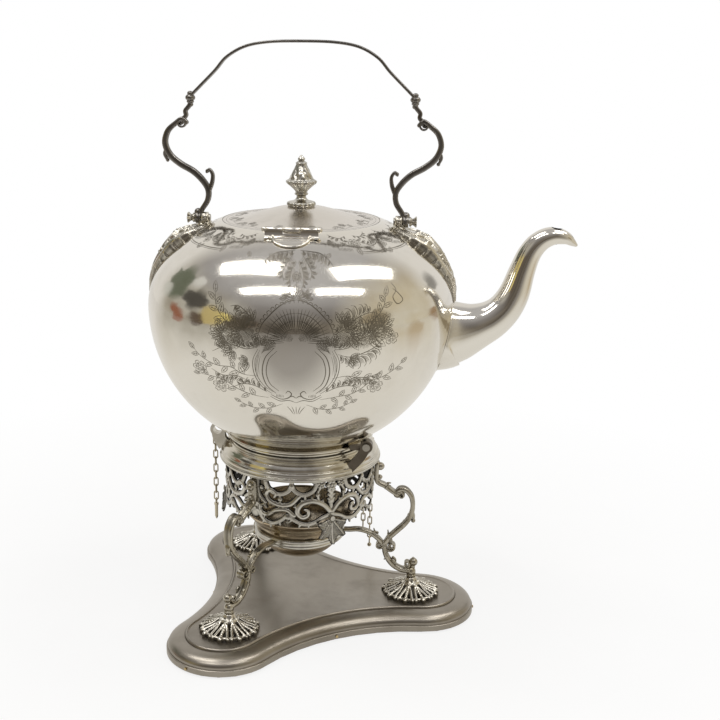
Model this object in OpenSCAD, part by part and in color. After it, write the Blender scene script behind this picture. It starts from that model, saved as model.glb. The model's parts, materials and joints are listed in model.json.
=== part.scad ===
// Spirit kettle on its stand: a round kettle with a swing handle and a hinged lid, tipped forward on
// two pivots over a spirit lamp. +Z is up, +X is the spout's side and -Y the lid hinge's side.
// The origin is the centre of the plinth's underside.

/* [Plinth] */
// Reach of each lobe from the centre
plinth_reach = 119; // [114:1:130]
// Radius of the round end of a lobe
plinth_lobe_r = 36; // [33:1:39]
// Distance from the centre to the edge between two lobes
plinth_waist = 60; // [55:1:66]
// Height of the plinth's flat top
plinth_h = 12; // [11:0.5:16]
// Height of the upright band round the edge
plinth_band_h = 4.5; // [3.5:0.5:5]
// Width of the moulded slope from the edge to the flat top
plinth_slope_w = 14; // [12:0.5:14.5]
// Thickness of the plated cover
cover_t = 1; // [0.7:0.1:1.3]
// Length of a nail in the band
nail_len = 5; // [4:0.5:8]

/* [Feet and legs] */
// Distance from the centre to each foot
foot_r = 76.5; // [74:0.5:79]
// Radius of a scalloped foot
foot_shell_r = 20; // [16:0.5:21]
// Height of a scalloped foot
foot_shell_h = 10.5; // [8:0.5:13]
// Width of a leg's strap, seen from the front
leg_w = 6.2; // [5:0.2:8]
// Thickness of a leg's strap, seen from the side
leg_t = 3.4; // [2.6:0.2:4]
// Radius of the foot bolts
foot_bolt_r = 1.5; // [1.2:0.1:1.8]
// Width of the burner arm's strap at its thin end
arm_t = 2.4; // [1.8:0.2:3]

/* [Stand ring and gallery] */
// Height of the stand ring's top above the table
ring_top_z = 122; // [121:0.5:123]
// Height of the stand ring
ring_h = 14; // [12:0.5:16]
// Radius of the stand ring's top, under the kettle's foot
ring_top_r = 46; // [45:0.5:47]
// Width of the ring's moulding outside its top
ring_flare = 7.7; // [6:0.1:9]
// Width of the ring's level seat
ring_seat_w = 3; // [2:0.5:5]
// Distance of the gallery inside the ring's widest line
gallery_in = 4.2; // [3.6:0.1:5.2]
// Height of the gallery below the ring
gallery_h = 34; // [31:1:36]
// Wall of the gallery
gallery_t = 1.2; // [0.8:0.1:1.6]
// Width of a vine leaf
leaf_w = 24; // [18:1:28]
// Length of a vine leaf
leaf_len = 20; // [16:1:24]
// Thickness of a vine leaf
leaf_t = 1.2; // [0.8:0.1:1.6]

/* [Lamp] */
// Outer radius of the lamp bowl where it passes the burner ring
lamp_r = 27.3; // [25:0.1:28]
// Depth of the lamp bowl under the burner ring's top
lamp_depth = 20.5; // [17:0.5:22]
// Radius of the lamp's beaded rim
lamp_rim_r = 37; // [34:0.5:40]
// Height of the lamp's rim above the burner ring
lamp_rim_h = 13.5; // [11:0.5:15]
// Wall of the lamp bowl
lamp_wall = 0.9; // [0.7:0.1:1.3]
// Outer radius of the burner ring
burner_ring_r = 30.5; // [30:0.5:32]
// Height of the burner ring
burner_ring_h = 5.9; // [4.9:0.5:6.9]
// Radius of the burner tube
burner_tube_r = 7; // [5:0.5:9]
// Height of the burner tube above the lamp cover
burner_tube_h = 14; // [8:1:18]

/* [Kettle body] */
// Greatest radius of the body
body_r = 98; // [96:0.5:100]
// Half height of the body's upper half, if it closed
body_up = 62.8; // [61:0.4:64]
// Half height of the body's lower half, if it closed
body_down = 96.6; // [95:0.5:98]
// Wall of the body
body_wall = 1.2; // [0.9:0.1:1.6]
// Radius of the mouth at the lid's seam
mouth_r = 50.5; // [49:0.5:52]
// Width of the step from the ring's top to the foot of the body
foot_step = 2.5; // [2:0.1:2.8]
// Height of the kettle's foot collar
collar_h = 6.76; // [6.5:0.02:7.2]
// Distance of the collar's lower edge inside the ring's top
collar_in = 0.7; // [0.5:0.1:1.5]
// Radius of the strainer holes behind the spout
strainer_hole_r = 1.5; // [1:0.1:2]

/* [Lid] */
// Rise of the lid from the seam to the finial
lid_rise = 8.4; // [6:0.2:10]
// Thickness of the lid
lid_t = 1.2; // [0.9:0.1:1.6]
// Depth of the lid's inner collar
lid_plug_h = 4.5; // [3:0.5:6]
// Length of the lid hinge
hinge_len = 32; // [24:1:38]
// Radius of the lid hinge's knuckles
hinge_r = 1.7; // [1.4:0.1:2]
// Radius of the lid hinge's pin
hinge_pin_r = 0.8; // [0.6:0.1:1]
// Radius of the half round plate under the hinge
hinge_plate_r = 12.5; // [10:0.5:15]
// Height of the finial above the lid
finial_h = 32; // [26:0.5:36]
// Radius of the finial's cup
finial_r = 9.7; // [8:0.1:11]

/* [Handle] */
// Distance between the two handle pivots
handle_span = 133; // [131:1:135]
// Height of the handle's pivots above the body
lug_rise = 7.37; // [6.97:0.1:8.37]
// Height of the bow's top above the pivots
bow_rise = 110.5; // [109.5:0.5:114]
// Thickness of the bow
bow_t = 1.9; // [1.5:0.1:2.4]
// Width of the bow
bow_w = 6; // [4:0.5:8]
// Depth of the cast arms
arm_depth = 4.4; // [3.5:0.1:5]
// Radius of the handle's pivot screws
handle_pin_r = 1.3; // [1:0.1:1.6]
// Height of a handle mount above the body
mount_h = 8; // [6:0.5:9]
// Half width of a handle mount
mount_w = 15; // [11:0.5:17]

/* [Pivots of the kettle] */
// Distance of the pivots outside the ring's widest line
pivot_out = 1.77; // [1.67:0.1:2.47]
// Height of the pivots above the table
pivot_z = 128.5; // [127.5:0.5:129]
// Distance of the kettle's knuckles from the centre line
pivot_y = 31; // [31:0.5:33]
// Thickness of a knuckle
knuckle_t = 3; // [2.5:0.1:3.5]
// Outer radius of a knuckle
knuckle_r = 4; // [3.4:0.1:4.2]
// Radius of the pivot pins
pivot_pin_r = 1.5; // [1.2:0.1:1.8]
// Distance of the rear eye outside the ring's widest line
eye_out = 1.5; // [1.4:0.1:3]
// Height of the rear eye above the table
eye_z = 124.7; // [124:0.1:126]
// Outer radius of the rear eye
eye_r = 5; // [4.6:0.1:5.4]
// Radius of the hole through the rear eye
eye_hole_r = 3; // [2.6:0.1:3.2]
// Half thickness of the kettle's tongue in the rear eye
tongue_half = 1.7; // [1.2:0.1:2]
// Thickness of one ear of the rear fork
fork_t = 1.6; // [1.2:0.1:2]

/* [Chains] */
// Radius of the chain wire
wire_r = 0.45; // [0.35:0.05:0.5]
// Inner length of a chain link
link_len = 5.1; // [4.6:0.1:6]
// Links in the rear chain
rear_links = 9; // [6:1:10]
// Links in the long strand on the far pin
far_links = 20; // [14:2:20]
// Links in the short strand beside it
side_links = 16; // [8:1:16]

/* [Clearances] */
// Gap between seated pieces of one body
fit = 0.05; // [0.03:0.01:0.08]
// Radial gap of a pin in a moving piece
run = 0.08; // [0.05:0.01:0.1]
// Gap between pieces that move past each other
gap = 0.3; // [0.25:0.05:0.35]

/* [Hidden] */
$fn = 64;

legs = [0, 120, 240];
lobe_x = plinth_reach - plinth_lobe_r;
waist_r = (lobe_x * lobe_x + plinth_waist * plinth_waist - lobe_x * plinth_waist
    - plinth_lobe_r * plinth_lobe_r) / (2 * plinth_lobe_r + lobe_x - 2 * plinth_waist);
waist_x = plinth_waist + waist_r;
lobe_turn = atan2(waist_x * sin(60), waist_x * cos(60) - lobe_x);
board_top_z = plinth_h - cover_t - fit;
board_step = plinth_slope_w + 1;
foot_z = plinth_h + fit;
neck_z = foot_z + foot_shell_h + fit;
ring_low_z = ring_top_z - ring_h;
ring_wide_r = ring_top_r + ring_flare;
ring_in_r = ring_top_r - ring_seat_w;
gallery_r = ring_wide_r - gallery_in;
gallery_top_z = ring_low_z + 4 - fit;
gallery_low_z = ring_low_z - gallery_h;
plate_r = gallery_r + fit;
leg_top_z = ring_low_z - 3.5;
leg_screw_z = ring_low_z - 11.5;
leaf_rivet_z = gallery_low_z + 8;
burner_z = 52;
burner_top_z = burner_z + burner_ring_h;
arm_z = burner_z + burner_ring_h * 0.6;
lamp_seat_z = burner_top_z + fit;
lamp_cover_z = lamp_seat_z + 1.1;
collar_low_z = ring_top_z + gap;
body_foot_r = ring_top_r + foot_step;
base_r = body_foot_r - 2.5;
collar_r = body_foot_r + 0.5;
collar_low_r = ring_top_r - collar_in;
collar_top_z = collar_low_z + collar_h;
body_mid_z = collar_top_z + body_down * sqrt(1 - pow(body_foot_r / body_r, 2));
mouth_z = body_mid_z + body_up * sqrt(1 - pow(mouth_r / body_r, 2));
ledge_w = 3.7;
ledge_z = mouth_z - 2.2;
ledge_t = 1.2;
lid_r = mouth_r - 0.8;
lid_low_z = ledge_z + gap;
lid_top_z = mouth_z + lid_rise;
hinge_y = mouth_r + 2.7;
hinge_z = mouth_z + 1.8;
finial_z = lid_top_z + fit;
pivot_half = handle_span / 2;
handle_z = body_z(pivot_half) + lug_rise;
lug_out = pivot_half - 2.5;
lug_len = 4.4;
mount_seat = 0.3;
arm_in = lug_out + gap;
arm_eye_t = 3.6;
nut_in = arm_in + arm_eye_t + gap;
arm_eye_r = 3.7;
bow_end_z = handle_z + 73.5;
bow_end_x = pivot_half + 3.5;
pivot_x = sqrt(pow(ring_wide_r + pivot_out, 2) - pivot_y * pivot_y);
eye_x = ring_wide_r + eye_out;
rest_pin_y = pivot_y + knuckle_t + gap;
stand_ear_out = rest_pin_y + knuckle_t;
link_bend_r = 1.35;
link_play = 0.1;
staple_r = 0.5;
pin_ring_r = 2.1;
pin_wire_r = 0.6;
far_chain_y = stand_ear_out + fit + 4.5;
side_stud_x = pivot_x - 4.8;
side_stud_z = pivot_z - 9.5;
rear_chain_x = eye_x + 2.2;
rear_chain_z = eye_z - 6.8;

// Points on a smooth curve through the points of a list
function blend_point(a, b, c, d, t) = 0.5 * ((2 * b) + (c - a) * t + (2 * a - 5 * b + 4 * c - d) * t * t
    + (3 * b - a - 3 * c + d) * t * t * t);
function smooth(p, n) = [
    for (i = [0:len(p) - 2]) for (j = [0:n - 1])
        blend_point(p[max(i - 1, 0)], p[i], p[i + 1], p[min(i + 2, len(p) - 1)], j / n),
    p[len(p) - 1]];
function side_way(s, i) = let (d = s[min(i + 1, len(s) - 1)] - s[max(i - 1, 0)]) [-d[1], d[0]] / norm(d);
function strap_outline(p, w0, w1, n) = let (s = smooth(p, n), m = len(s) - 1) concat(
    [for (i = [0:m]) s[i] + side_way(s, i) * (w0 + (w1 - w0) * i / m) / 2],
    [for (i = [m:-1:0]) s[i] - side_way(s, i) * (w0 + (w1 - w0) * i / m) / 2]);

// A cast strap that follows a curve in the XZ plane, depth wide along Y
module strap(p, w0, w1, depth, n = 4) {
    rotate([90, 0, 0]) linear_extrude(height = depth, center = true) polygon(strap_outline(p, w0, w1, n));
}

// A disc along Y, centred at x, z
module disc_y(x, y0, y1, z, r) {
    translate([x, y0, z]) rotate([-90, 0, 0]) cylinder(h = y1 - y0, r = r);
}

// A disc along X, centred at y, z
module disc_x(x0, x1, y, z, r) {
    translate([x0, y, z]) rotate([0, 90, 0]) cylinder(h = x1 - x0, r = r);
}

module turned(points) {
    rotate_extrude() polygon(points);
}

// The plinth's outline, drawn in by a distance
function lobe_points(d) = [for (k = [0:2]) each concat(
    [for (i = [0:10]) let (a = -lobe_turn + i * lobe_turn / 5)
        turn([lobe_x + (plinth_lobe_r - d) * cos(a), (plinth_lobe_r - d) * sin(a)], 120 * k)],
    [for (i = [1:7]) let (a = lobe_turn + 180 - i * (2 * lobe_turn - 120) / 8)
        turn([waist_x * cos(60) + (waist_r + d) * cos(a), waist_x * sin(60) + (waist_r + d) * sin(a)],
            120 * k)])];
function turn(p, a) = [p[0] * cos(a) - p[1] * sin(a), p[0] * sin(a) + p[1] * cos(a)];

module plinth_slab(d, z0, z1) {
    translate([0, 0, z0]) linear_extrude(height = z1 - z0) polygon(lobe_points(d));
}

function cover_levels() = let (w = plinth_slope_w - 3.4, z = plinth_band_h + 0.8, h = plinth_h - z - 0.6)
    concat(
        [[0, 0.6], [0, plinth_band_h], [0.9, plinth_band_h + 0.4], [0.9, z]],
        [for (i = [1:6]) [0.9 + w * (1 - cos(15 * i)), z + h * sin(15 * i)]],
        [[plinth_slope_w - 2, plinth_h - 1], [plinth_slope_w - 1.5, plinth_h + 0.3],
            [plinth_slope_w - 0.9, plinth_h + 0.6], [plinth_slope_w - 0.3, plinth_h + 0.3],
            [plinth_slope_w, plinth_h]]);
function cover_inner() = [[plinth_slope_w + 0.5, plinth_h - cover_t],
    [plinth_slope_w - 1, plinth_h - cover_t - 1], [cover_t, plinth_band_h - 0.4], [cover_t, 0.6]];

module foot_places() {
    for (a = legs) rotate([0, 0, a]) translate([foot_r, 0, 0]) children();
}

module plinth_board() {
    color("saddlebrown") difference() {
        union() {
            plinth_slab(cover_t + fit, 0, plinth_band_h - 0.5);
            plinth_slab(board_step, plinth_band_h - 0.6, board_top_z);
        }
        foot_places() {
            translate([0, 0, -1]) cylinder(h = plinth_h + 2, r = foot_bolt_r + fit);
            translate([0, 0, -1]) cylinder(h = 4, r = 4);
        }
        nail_places() translate([0, 0, -cover_t - 1]) cylinder(h = nail_len + 2, r = 0.55 + fit);
    }
}

module plinth_cover() {
    outer = cover_levels();
    inner = cover_inner();
    rows = concat(outer, inner);
    n = len(lobe_points(0));
    m = len(rows);
    k = len(outer);
    points = concat([for (r = rows) each [for (p = lobe_points(r[0])) [p[0], p[1], r[1]]]],
        [[0, 0, plinth_h], [0, 0, plinth_h - cover_t]]);
    bands = concat([for (i = [0:k - 2]) [i, i + 1]], [for (i = [k:m - 2]) [i, i + 1]], [[m - 1, 0]]);
    faces = concat(
        [for (b = bands) for (j = [0:n - 1]) [b[0] * n + j, b[1] * n + j, b[1] * n + (j + 1) % n]],
        [for (b = bands) for (j = [0:n - 1])
            [b[0] * n + j, b[1] * n + (j + 1) % n, b[0] * n + (j + 1) % n]],
        [for (j = [0:n - 1]) [(k - 1) * n + j, m * n, (k - 1) * n + (j + 1) % n]],
        [for (j = [0:n - 1]) [k * n + j, k * n + (j + 1) % n, m * n + 1]]);
    color("dimgray") difference() {
        polyhedron(points, faces, convexity = 6);
        foot_places() cylinder(h = plinth_h + 2, r = foot_bolt_r + fit);
        nail_places() translate([0, 0, -cover_t]) cylinder(h = nail_len, r = 0.55 + fit);
    }
}

// Nails point inwards, square to the band, at the waists and on the lobes
module nail_places() {
    for (a = legs) rotate([0, 0, a]) {
        translate([plinth_reach, 0, plinth_band_h / 2 + 0.3]) rotate([0, -90, 0]) children();
        rotate([0, 0, 60]) translate([plinth_waist, 0, plinth_band_h / 2 + 0.3]) rotate([0, -90, 0])
            children();
    }
}

module plinth_nails() {
    color("goldenrod") nail_places() {
        translate([0, 0, -0.2]) cylinder(h = nail_len - 1, r = 0.55);
        translate([0, 0, -0.68]) cylinder(h = 0.6, r = 0.9);
    }
}

module foot_bolts() {
    color("silver") foot_places() translate([0, 0, 0.6])
        cylinder(h = neck_z + 4 - 0.6, r = foot_bolt_r);
}

module foot_nuts() {
    color("silver") foot_places() translate([0, 0, 0.7]) difference() {
        cylinder(h = 2.2, r = 3.2, $fn = 6);
        translate([0, 0, -1]) cylinder(h = 5, r = foot_bolt_r + fit);
    }
}

// A scalloped foot: a low flaring cone with nine beaded ribs and eight pierced slots
module foot_shell(a) {
    h = foot_shell_h;
    r = foot_shell_r;
    color("silver") rotate([0, 0, a]) translate([foot_r, 0, foot_z]) difference() {
        union() {
            turned([[0, h], [3.4, h], [4.6, h * 0.76], [r * 0.45, h * 0.46], [r * 0.75, h * 0.24],
                [r * 0.93, h * 0.13], [r * 0.93, 0], [r * 0.8, 0], [r * 0.45, h * 0.3], [4, h * 0.5],
                [0, h * 0.6]]);
            for (i = [0:8]) rotate([0, 0, 40 * i + 20]) translate([r - 1.6, 0, 1.6]) sphere(r = 1.6);
        }
        translate([0, 0, -1]) cylinder(h = h + 2, r = foot_bolt_r + fit);
        for (i = [0:8]) rotate([0, 0, 40 * i]) {
            translate([r * 0.6, 0, -1]) cylinder(h = h, r = 1.1);
            translate([r * 0.93 + 1, 0, -1]) cylinder(h = h, r = 2.2);
        }
    }
}

module foot_shell_right() { foot_shell(legs[0]); }
module foot_shell_back() { foot_shell(legs[1]); }
module foot_shell_front() { foot_shell(legs[2]); }

// A point of a leg: its share of the way out from the gallery to the foot, and up from foot to ring
function leg_at(out, up) = [plate_r + out * (foot_r - plate_r), neck_z + up * (leg_top_z - neck_z)];

// A cast scroll leg in its own radial plane, with its burner arm
module leg(a) {
    arm_end = burner_ring_r + fit;
    knot = leg_at(0.61, 0.735);
    elbow = leg_at(0.335, 0.25);
    color("dimgray") rotate([0, 0, a]) difference() {
        union() {
            strap([[plate_r + 2.3, leg_top_z], [plate_r + 2.3, leg_top_z - 12], leg_at(0.295, 0.806),
                leg_at(0.443, 0.769), knot], 3.6, 3, leg_w, 3);
            strap([leg_at(0.573, 0.733), leg_at(0.655, 0.779), leg_at(0.811, 0.777), leg_at(0.955, 0.719),
                leg_at(0.996, 0.634), leg_at(0.952, 0.554), leg_at(0.818, 0.481), leg_at(0.61, 0.41),
                leg_at(0.417, 0.342), leg_at(0.321, 0.271), leg_at(0.358, 0.193), leg_at(0.514, 0.115),
                [foot_r - 7, neck_z + 5.6], [foot_r - 1.5, neck_z + 5]], leg_t, leg_t, leg_w);
            strap([leg_at(0.967, 0.591), leg_at(1.026, 0.548), leg_at(1.019, 0.505)], 2.6, 1.6,
                leg_w * 0.8, 3);
            strap([elbow, leg_at(0.165, 0.33), [arm_end + 17, arm_z - 1.4], [arm_end + 10, arm_z + 0.4],
                [arm_end + 3.5, arm_z], [arm_end + 0.3, arm_z]], leg_t, arm_t, leg_w * 0.8);
            translate([arm_end + 1.2, 0, arm_z]) cube([2.4, 7, 5], center = true);
            translate([knot[0], 0, knot[1]]) sphere(r = 2.7);
            translate([plate_r + 4.4, 0, leg_top_z - 2.4]) sphere(r = 2.9);
            translate([foot_r, 0, neck_z]) cylinder(h = 5.5, r1 = 3.4, r2 = 2.6);
            translate([foot_r + 1, 0, neck_z + 5]) cylinder(h = 5, r = 1.5);
            translate([foot_r + 1.4, 0, neck_z + 11]) sphere(r = 3);
        }
        translate([0, 0, ring_low_z - 30]) cylinder(h = 40, r = plate_r);
        cylinder(h = 80, r = arm_end);
        translate([foot_r, 0, neck_z - 1]) cylinder(h = 5.2, r = foot_bolt_r + fit);
        disc_x(plate_r - 1, plate_r + 6, 0, leg_screw_z, 0.9 + fit);
        disc_x(arm_end - 1, arm_end + 4, 0, arm_z, 0.8 + fit);
    }
}

module leg_right() { leg(legs[0]); }
module leg_back() { leg(legs[1]); }
module leg_front() { leg(legs[2]); }

// Screws from inside the gallery into the three leg plates
module leg_screws() {
    in_r = gallery_r - gallery_t - 0.5;
    color("silver") for (a = legs) rotate([0, 0, a]) {
        disc_x(in_r - 0.5, plate_r + 3.4, 0, leg_screw_z, 0.9);
        disc_x(in_r - 1, in_r, 0, leg_screw_z, 1.7);
    }
}

module arm_rivets() {
    color("silver") for (a = legs) rotate([0, 0, a])
        disc_x(burner_ring_r - 2.3, burner_ring_r + 2.2, 0, arm_z, 0.8);
}

// Stand ring: a convex moulded flange round a level seat
module stand_ring() {
    t = ring_top_z;
    b = ring_low_z;
    r = ring_wide_r;
    color("darkkhaki") turned([[ring_in_r, t], [ring_top_r, t], [ring_top_r, t - 1], [ring_top_r + 0.8,
        t - 1.2],
        [ring_top_r + 0.9, t - 2.2], [ring_top_r + 2, t - 2.8], [ring_top_r + 3.6, t - 4.2],
        [ring_top_r + 4.8, t - 6], [ring_top_r + 5.3, t - 7.8], [r - 1.6, t - 8.4], [r - 1, t - 9.4],
        [r - 0.9, b + 3], [r, b + 2.4], [r, b + 1.2], [r - 1.2, b + 0.4], [r - 1.2, b],
        [plate_r, b], [plate_r, b + 4], [ring_in_r, t - 3]]);
}

// Gallery: a pierced apron under the ring, with a waved lower edge that is deepest behind the leaves
module gallery() {
    z0 = gallery_low_z;
    color("gray") difference() {
        turned([[gallery_r - gallery_t, z0], [gallery_r, z0], [gallery_r, gallery_top_z],
            [gallery_r - gallery_t, gallery_top_z]]);
        for (a = legs) rotate([0, 0, a]) {
            disc_x(30, 60, 0, leg_screw_z, 0.9 + fit);
            disc_x(30, 60, 0, z0 - 2, 9);
            for (s = [-1, 1]) {
                rotate([0, 0, 60 + 14 * s]) disc_x(30, 60, 0, z0 + 28, 3.2);
                rotate([0, 0, 60 + 26 * s]) disc_x(30, 60, 0, z0 + 28, 3.2);
                rotate([0, 0, 60 + 38 * s]) disc_x(30, 60, 0, z0 + 28, 3.2);
                rotate([0, 0, 60 + 7 * s]) disc_x(30, 60, 0, z0 + 19, 3.2);
                rotate([0, 0, 60 + 20 * s]) disc_x(30, 60, 0, z0 + 19, 3.6);
                rotate([0, 0, 60 + 33 * s]) disc_x(30, 60, 0, z0 + 19, 3.6);
                rotate([0, 0, 60 + 46 * s]) disc_x(30, 60, 0, z0 + 19, 3.2);
                rotate([0, 0, 60 + 13 * s]) disc_x(30, 60, 0, z0 + 9, 2.6);
                rotate([0, 0, 60 + 26 * s]) disc_x(30, 60, 0, z0 + 9, 2.6);
                rotate([0, 0, 60 + 30 * s]) disc_x(30, 60, 0, z0 - 2, 5);
            }
            rotate([0, 0, 60]) disc_x(30, 60, 0, leaf_rivet_z, 0.8 + fit);
        }
    }
}

// A vine leaf with five points, hung from the gallery on a rivet
function leaf_point(a) = let (s = 0.6 + 0.35 * pow(abs(cos(2.5 * a)), 0.8) + 0.05 * abs(cos(12.5 * a)))
    [leaf_w / 2 * s * sin(a) * (1 - 0.12 * cos(a)), -leaf_len / 2 * s * cos(a)];
module leaf(a) {
    color("gray") rotate([0, 0, a]) translate([gallery_r + gap, 0, leaf_rivet_z + 2.3]) rotate([0, -3, 0])
        difference() {
            union() {
                translate([0, 0, -leaf_len / 2 + 1]) rotate([90, 0, 90])
                    linear_extrude(height = leaf_t) polygon([for (i = [0:71]) leaf_point(5 * i)]);
                translate([0, -2.2, -7]) cube([leaf_t, 4.4, 7.5]);
            }
            disc_x(-2, leaf_t + 1, 0, -2.3, 0.8 + fit);
        }
}

module leaf_near() { leaf(300); }
module leaf_far() { leaf(60); }
module leaf_rear() { leaf(180); }

module leaf_rivets() {
    in_r = gallery_r - gallery_t - 0.6;
    out_r = gallery_r + gap + leaf_t + 0.3;
    color("gray") for (a = [60, 180, 300]) rotate([0, 0, a]) {
        disc_x(in_r, out_r + 0.2, 0, leaf_rivet_z, 0.75);
        disc_x(out_r, out_r + 0.8, 0, leaf_rivet_z, 1.6);
    }
}

module burner_ring() {
    color("dimgray") difference() {
        turned([[lamp_r + gap, burner_z], [burner_ring_r, burner_z], [burner_ring_r, burner_top_z - 1],
            [burner_ring_r - 0.6, burner_top_z], [lamp_r + gap, burner_top_z]]);
        for (a = legs) rotate([0, 0, a]) disc_x(burner_ring_r - 5, burner_ring_r + 1, 0, arm_z, 0.8 + fit);
    }
}

// The lamp's bowl sits on the burner ring by a small shoulder, and flares above it to a beaded rim
module lamp_bowl() {
    z = lamp_seat_z;
    r = lamp_r;
    d = lamp_depth;
    w = lamp_wall;
    q = lamp_rim_r;
    h = lamp_rim_h;
    in_r = r - w;
    color("peru") turned(concat(
        [[0, z - d]],
        [for (i = [1:9]) [r * sin(10 * i), z - 3 - (d - 3) * cos(10 * i)]],
        [[r, z], [r + 1.4, z], [r + 1.8, z + 1.6], [r + 3.4, z + h * 0.36], [q - 2.6, z + h * 0.68],
            [q - 1, z + h - 2], [q, z + h - 1.4], [q + 0.5, z + h - 0.5], [q, z + h], [q - 1, z + h - 0.2],
            [q - 2, z + h - 1.6], [q - 3.6, z + h * 0.68 + 0.4], [r + 2.4, z + h * 0.36 + 0.5],
            [r + 0.6, z + 2.2], [r + 0.6, z + 1], [in_r, z + 1]],
        [for (i = [9:-1:1]) [in_r * sin(10 * i), z - 3 - (d - 3 - w) * cos(10 * i)]],
        [[0, z - d + w]]));
}

// The lamp's cover carries the burner tube, which the wick fills
module lamp_cover() {
    z = lamp_cover_z;
    q = burner_tube_r;
    r = lamp_r + 0.6 - fit;
    color("peru") turned([[q - 1, z - 6], [q, z - 6], [q, z], [r, z], [r, z + 1],
        [r - 4, z + 2.2], [q + 4, z + 3.4], [q, z + 4], [q, z + burner_tube_h],
        [q - 1, z + burner_tube_h]]);
}

module lamp_wick() {
    color("ivory") translate([0, 0, lamp_cover_z - 9])
        cylinder(h = burner_tube_h + 11, r = burner_tube_r - 1 - fit);
}

function body_outer(n, low_r) = concat(
    [for (i = [0:n]) let (a = asin(low_r / body_r) + (90 - asin(low_r / body_r)) * i / n)
        [body_r * sin(a), body_mid_z - body_down * cos(a)]],
    [for (i = [1:n]) let (a = (90 - asin(mouth_r / body_r)) * i / n)
        [body_r * cos(a), body_mid_z + body_up * sin(a)]]);
function body_inner(n, low_r) = let (r = body_r - body_wall, up = body_up - body_wall) concat(
    [for (i = [0:n]) let (a = asin((ledge_z - ledge_t - body_mid_z) / up) * (n - i) / n)
        [r * cos(a), body_mid_z + up * sin(a)]],
    [for (i = [n - 1:-1:0]) let (a = asin(low_r / r) + (90 - asin(low_r / r)) * i / n)
        [r * sin(a), body_mid_z - (body_down - body_wall) * cos(a)]]);

module body_solid(grow) {
    turned(concat([[0, collar_top_z - 2]], [for (p = body_outer(12, body_foot_r)) [p[0] + grow, p[1]]],
        [[0, mouth_z]]));
}

module strainer_places() {
    for (i = [-2:2]) for (j = [-2:2])
        translate([body_r - 22, 5 * j + (i % 2 == 0 ? 0 : 2.5), body_mid_z - 19 + 5 * i]) rotate([0,
            90, 0]) children();
}

// Body: a spun globe, a little deeper below its widest line, with an inner ledge for the lid
module kettle_body() {
    in_r = mouth_r - ledge_w;
    color("silver") difference() {
        turned(concat([[0, collar_top_z - 2]], [[base_r, collar_top_z - 2]], body_outer(12, body_foot_r),
            [[mouth_r - 0.4, mouth_z], [mouth_r - 0.4, ledge_z], [in_r, ledge_z], [in_r,
                ledge_z - ledge_t]],
            body_inner(12, body_foot_r - 2), [[0, collar_top_z - 2 + body_wall]]));
        strainer_places() cylinder(h = 40, r = strainer_hole_r);
    }
}

// Foot collar: stepped rings, narrow at the bottom so that it clears the stand when the kettle tips
module kettle_collar() {
    t = collar_top_z - 2 - fit;
    b = collar_low_z;
    r = collar_r;
    color("darkkhaki") turned([[base_r - 4, b], [collar_low_r, b], [collar_low_r + 0.4, b + 1.2],
        [collar_low_r, b + 2.2], [r - 1.4, b + 2.6], [r - 0.2, b + 3.4], [r, b + 4.2], [r - 0.8, b + 5],
        [r - 2.2, t], [base_r - 4, t]]);
}

// Knuckle on the kettle's foot, s = -1 near the viewer, s = 1 far
module kettle_ear(s) {
    y0 = s > 0 ? pivot_y : -pivot_y - knuckle_t;
    color("darkkhaki") difference() {
        union() {
            disc_y(pivot_x, y0, y0 + knuckle_t, pivot_z, knuckle_r);
            translate([pivot_x - 11, y0, collar_low_z + 2.6]) cube([11, knuckle_t, 3.4]);
        }
        translate([0, 0, collar_low_z - 1]) cylinder(h = 20, r = collar_r + fit);
        disc_y(pivot_x, y0 - 1, y0 + knuckle_t + 1, pivot_z, pivot_pin_r + run);
    }
}

module kettle_ear_near() { kettle_ear(-1); }
module kettle_ear_far() { kettle_ear(1); }

// Bracket on the stand ring that carries a pivot
module stand_ear(s) {
    y0 = s > 0 ? rest_pin_y : -stand_ear_out;
    color("dimgray") difference() {
        union() {
            disc_y(pivot_x, y0, y0 + knuckle_t, pivot_z, knuckle_r);
            translate([0, y0 + knuckle_t / 2, 0])
                strap([[pivot_x, pivot_z], [pivot_x - 3.5, pivot_z - 7], [pivot_x - 9, pivot_z - 13.5],
                    [pivot_x - 12, pivot_z - 16.5]], 6, 6, knuckle_t);
            if (s > 0) {
                disc_y(side_stud_x, stand_ear_out - 0.5, far_chain_y + 1.6, side_stud_z, staple_r);
                disc_y(side_stud_x, far_chain_y + 1.5, far_chain_y + 2.3, side_stud_z, 1);
            }
        }
        disc_y(pivot_x, y0 - 1, y0 + knuckle_t + 1, pivot_z, pivot_pin_r + fit);
        ring_clear();
    }
}

// The stand ring's outer form, grown by the seating gap
module ring_clear() {
    t = ring_top_z;
    b = ring_low_z;
    r = ring_wide_r + fit;
    e = ring_top_r + fit;
    turned([[0, t + fit], [e, t + fit], [e, t - 1], [e + 0.8, t - 1.2],
        [e + 0.9, t - 2.2], [e + 2, t - 2.8], [e + 3.6, t - 4.2],
        [e + 4.8, t - 6], [e + 5.3, t - 7.8], [r - 1.6, t - 8.4], [r - 1, t - 9.4],
        [r - 0.9, b + 3], [r, b + 2.4], [r, b + 1.2], [r - 1.2, b + 0.4], [r - 1.2, b - 20], [0, b - 20]]);
}

module stand_ear_near() { stand_ear(-1); }
module stand_ear_far() { stand_ear(1); }

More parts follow.
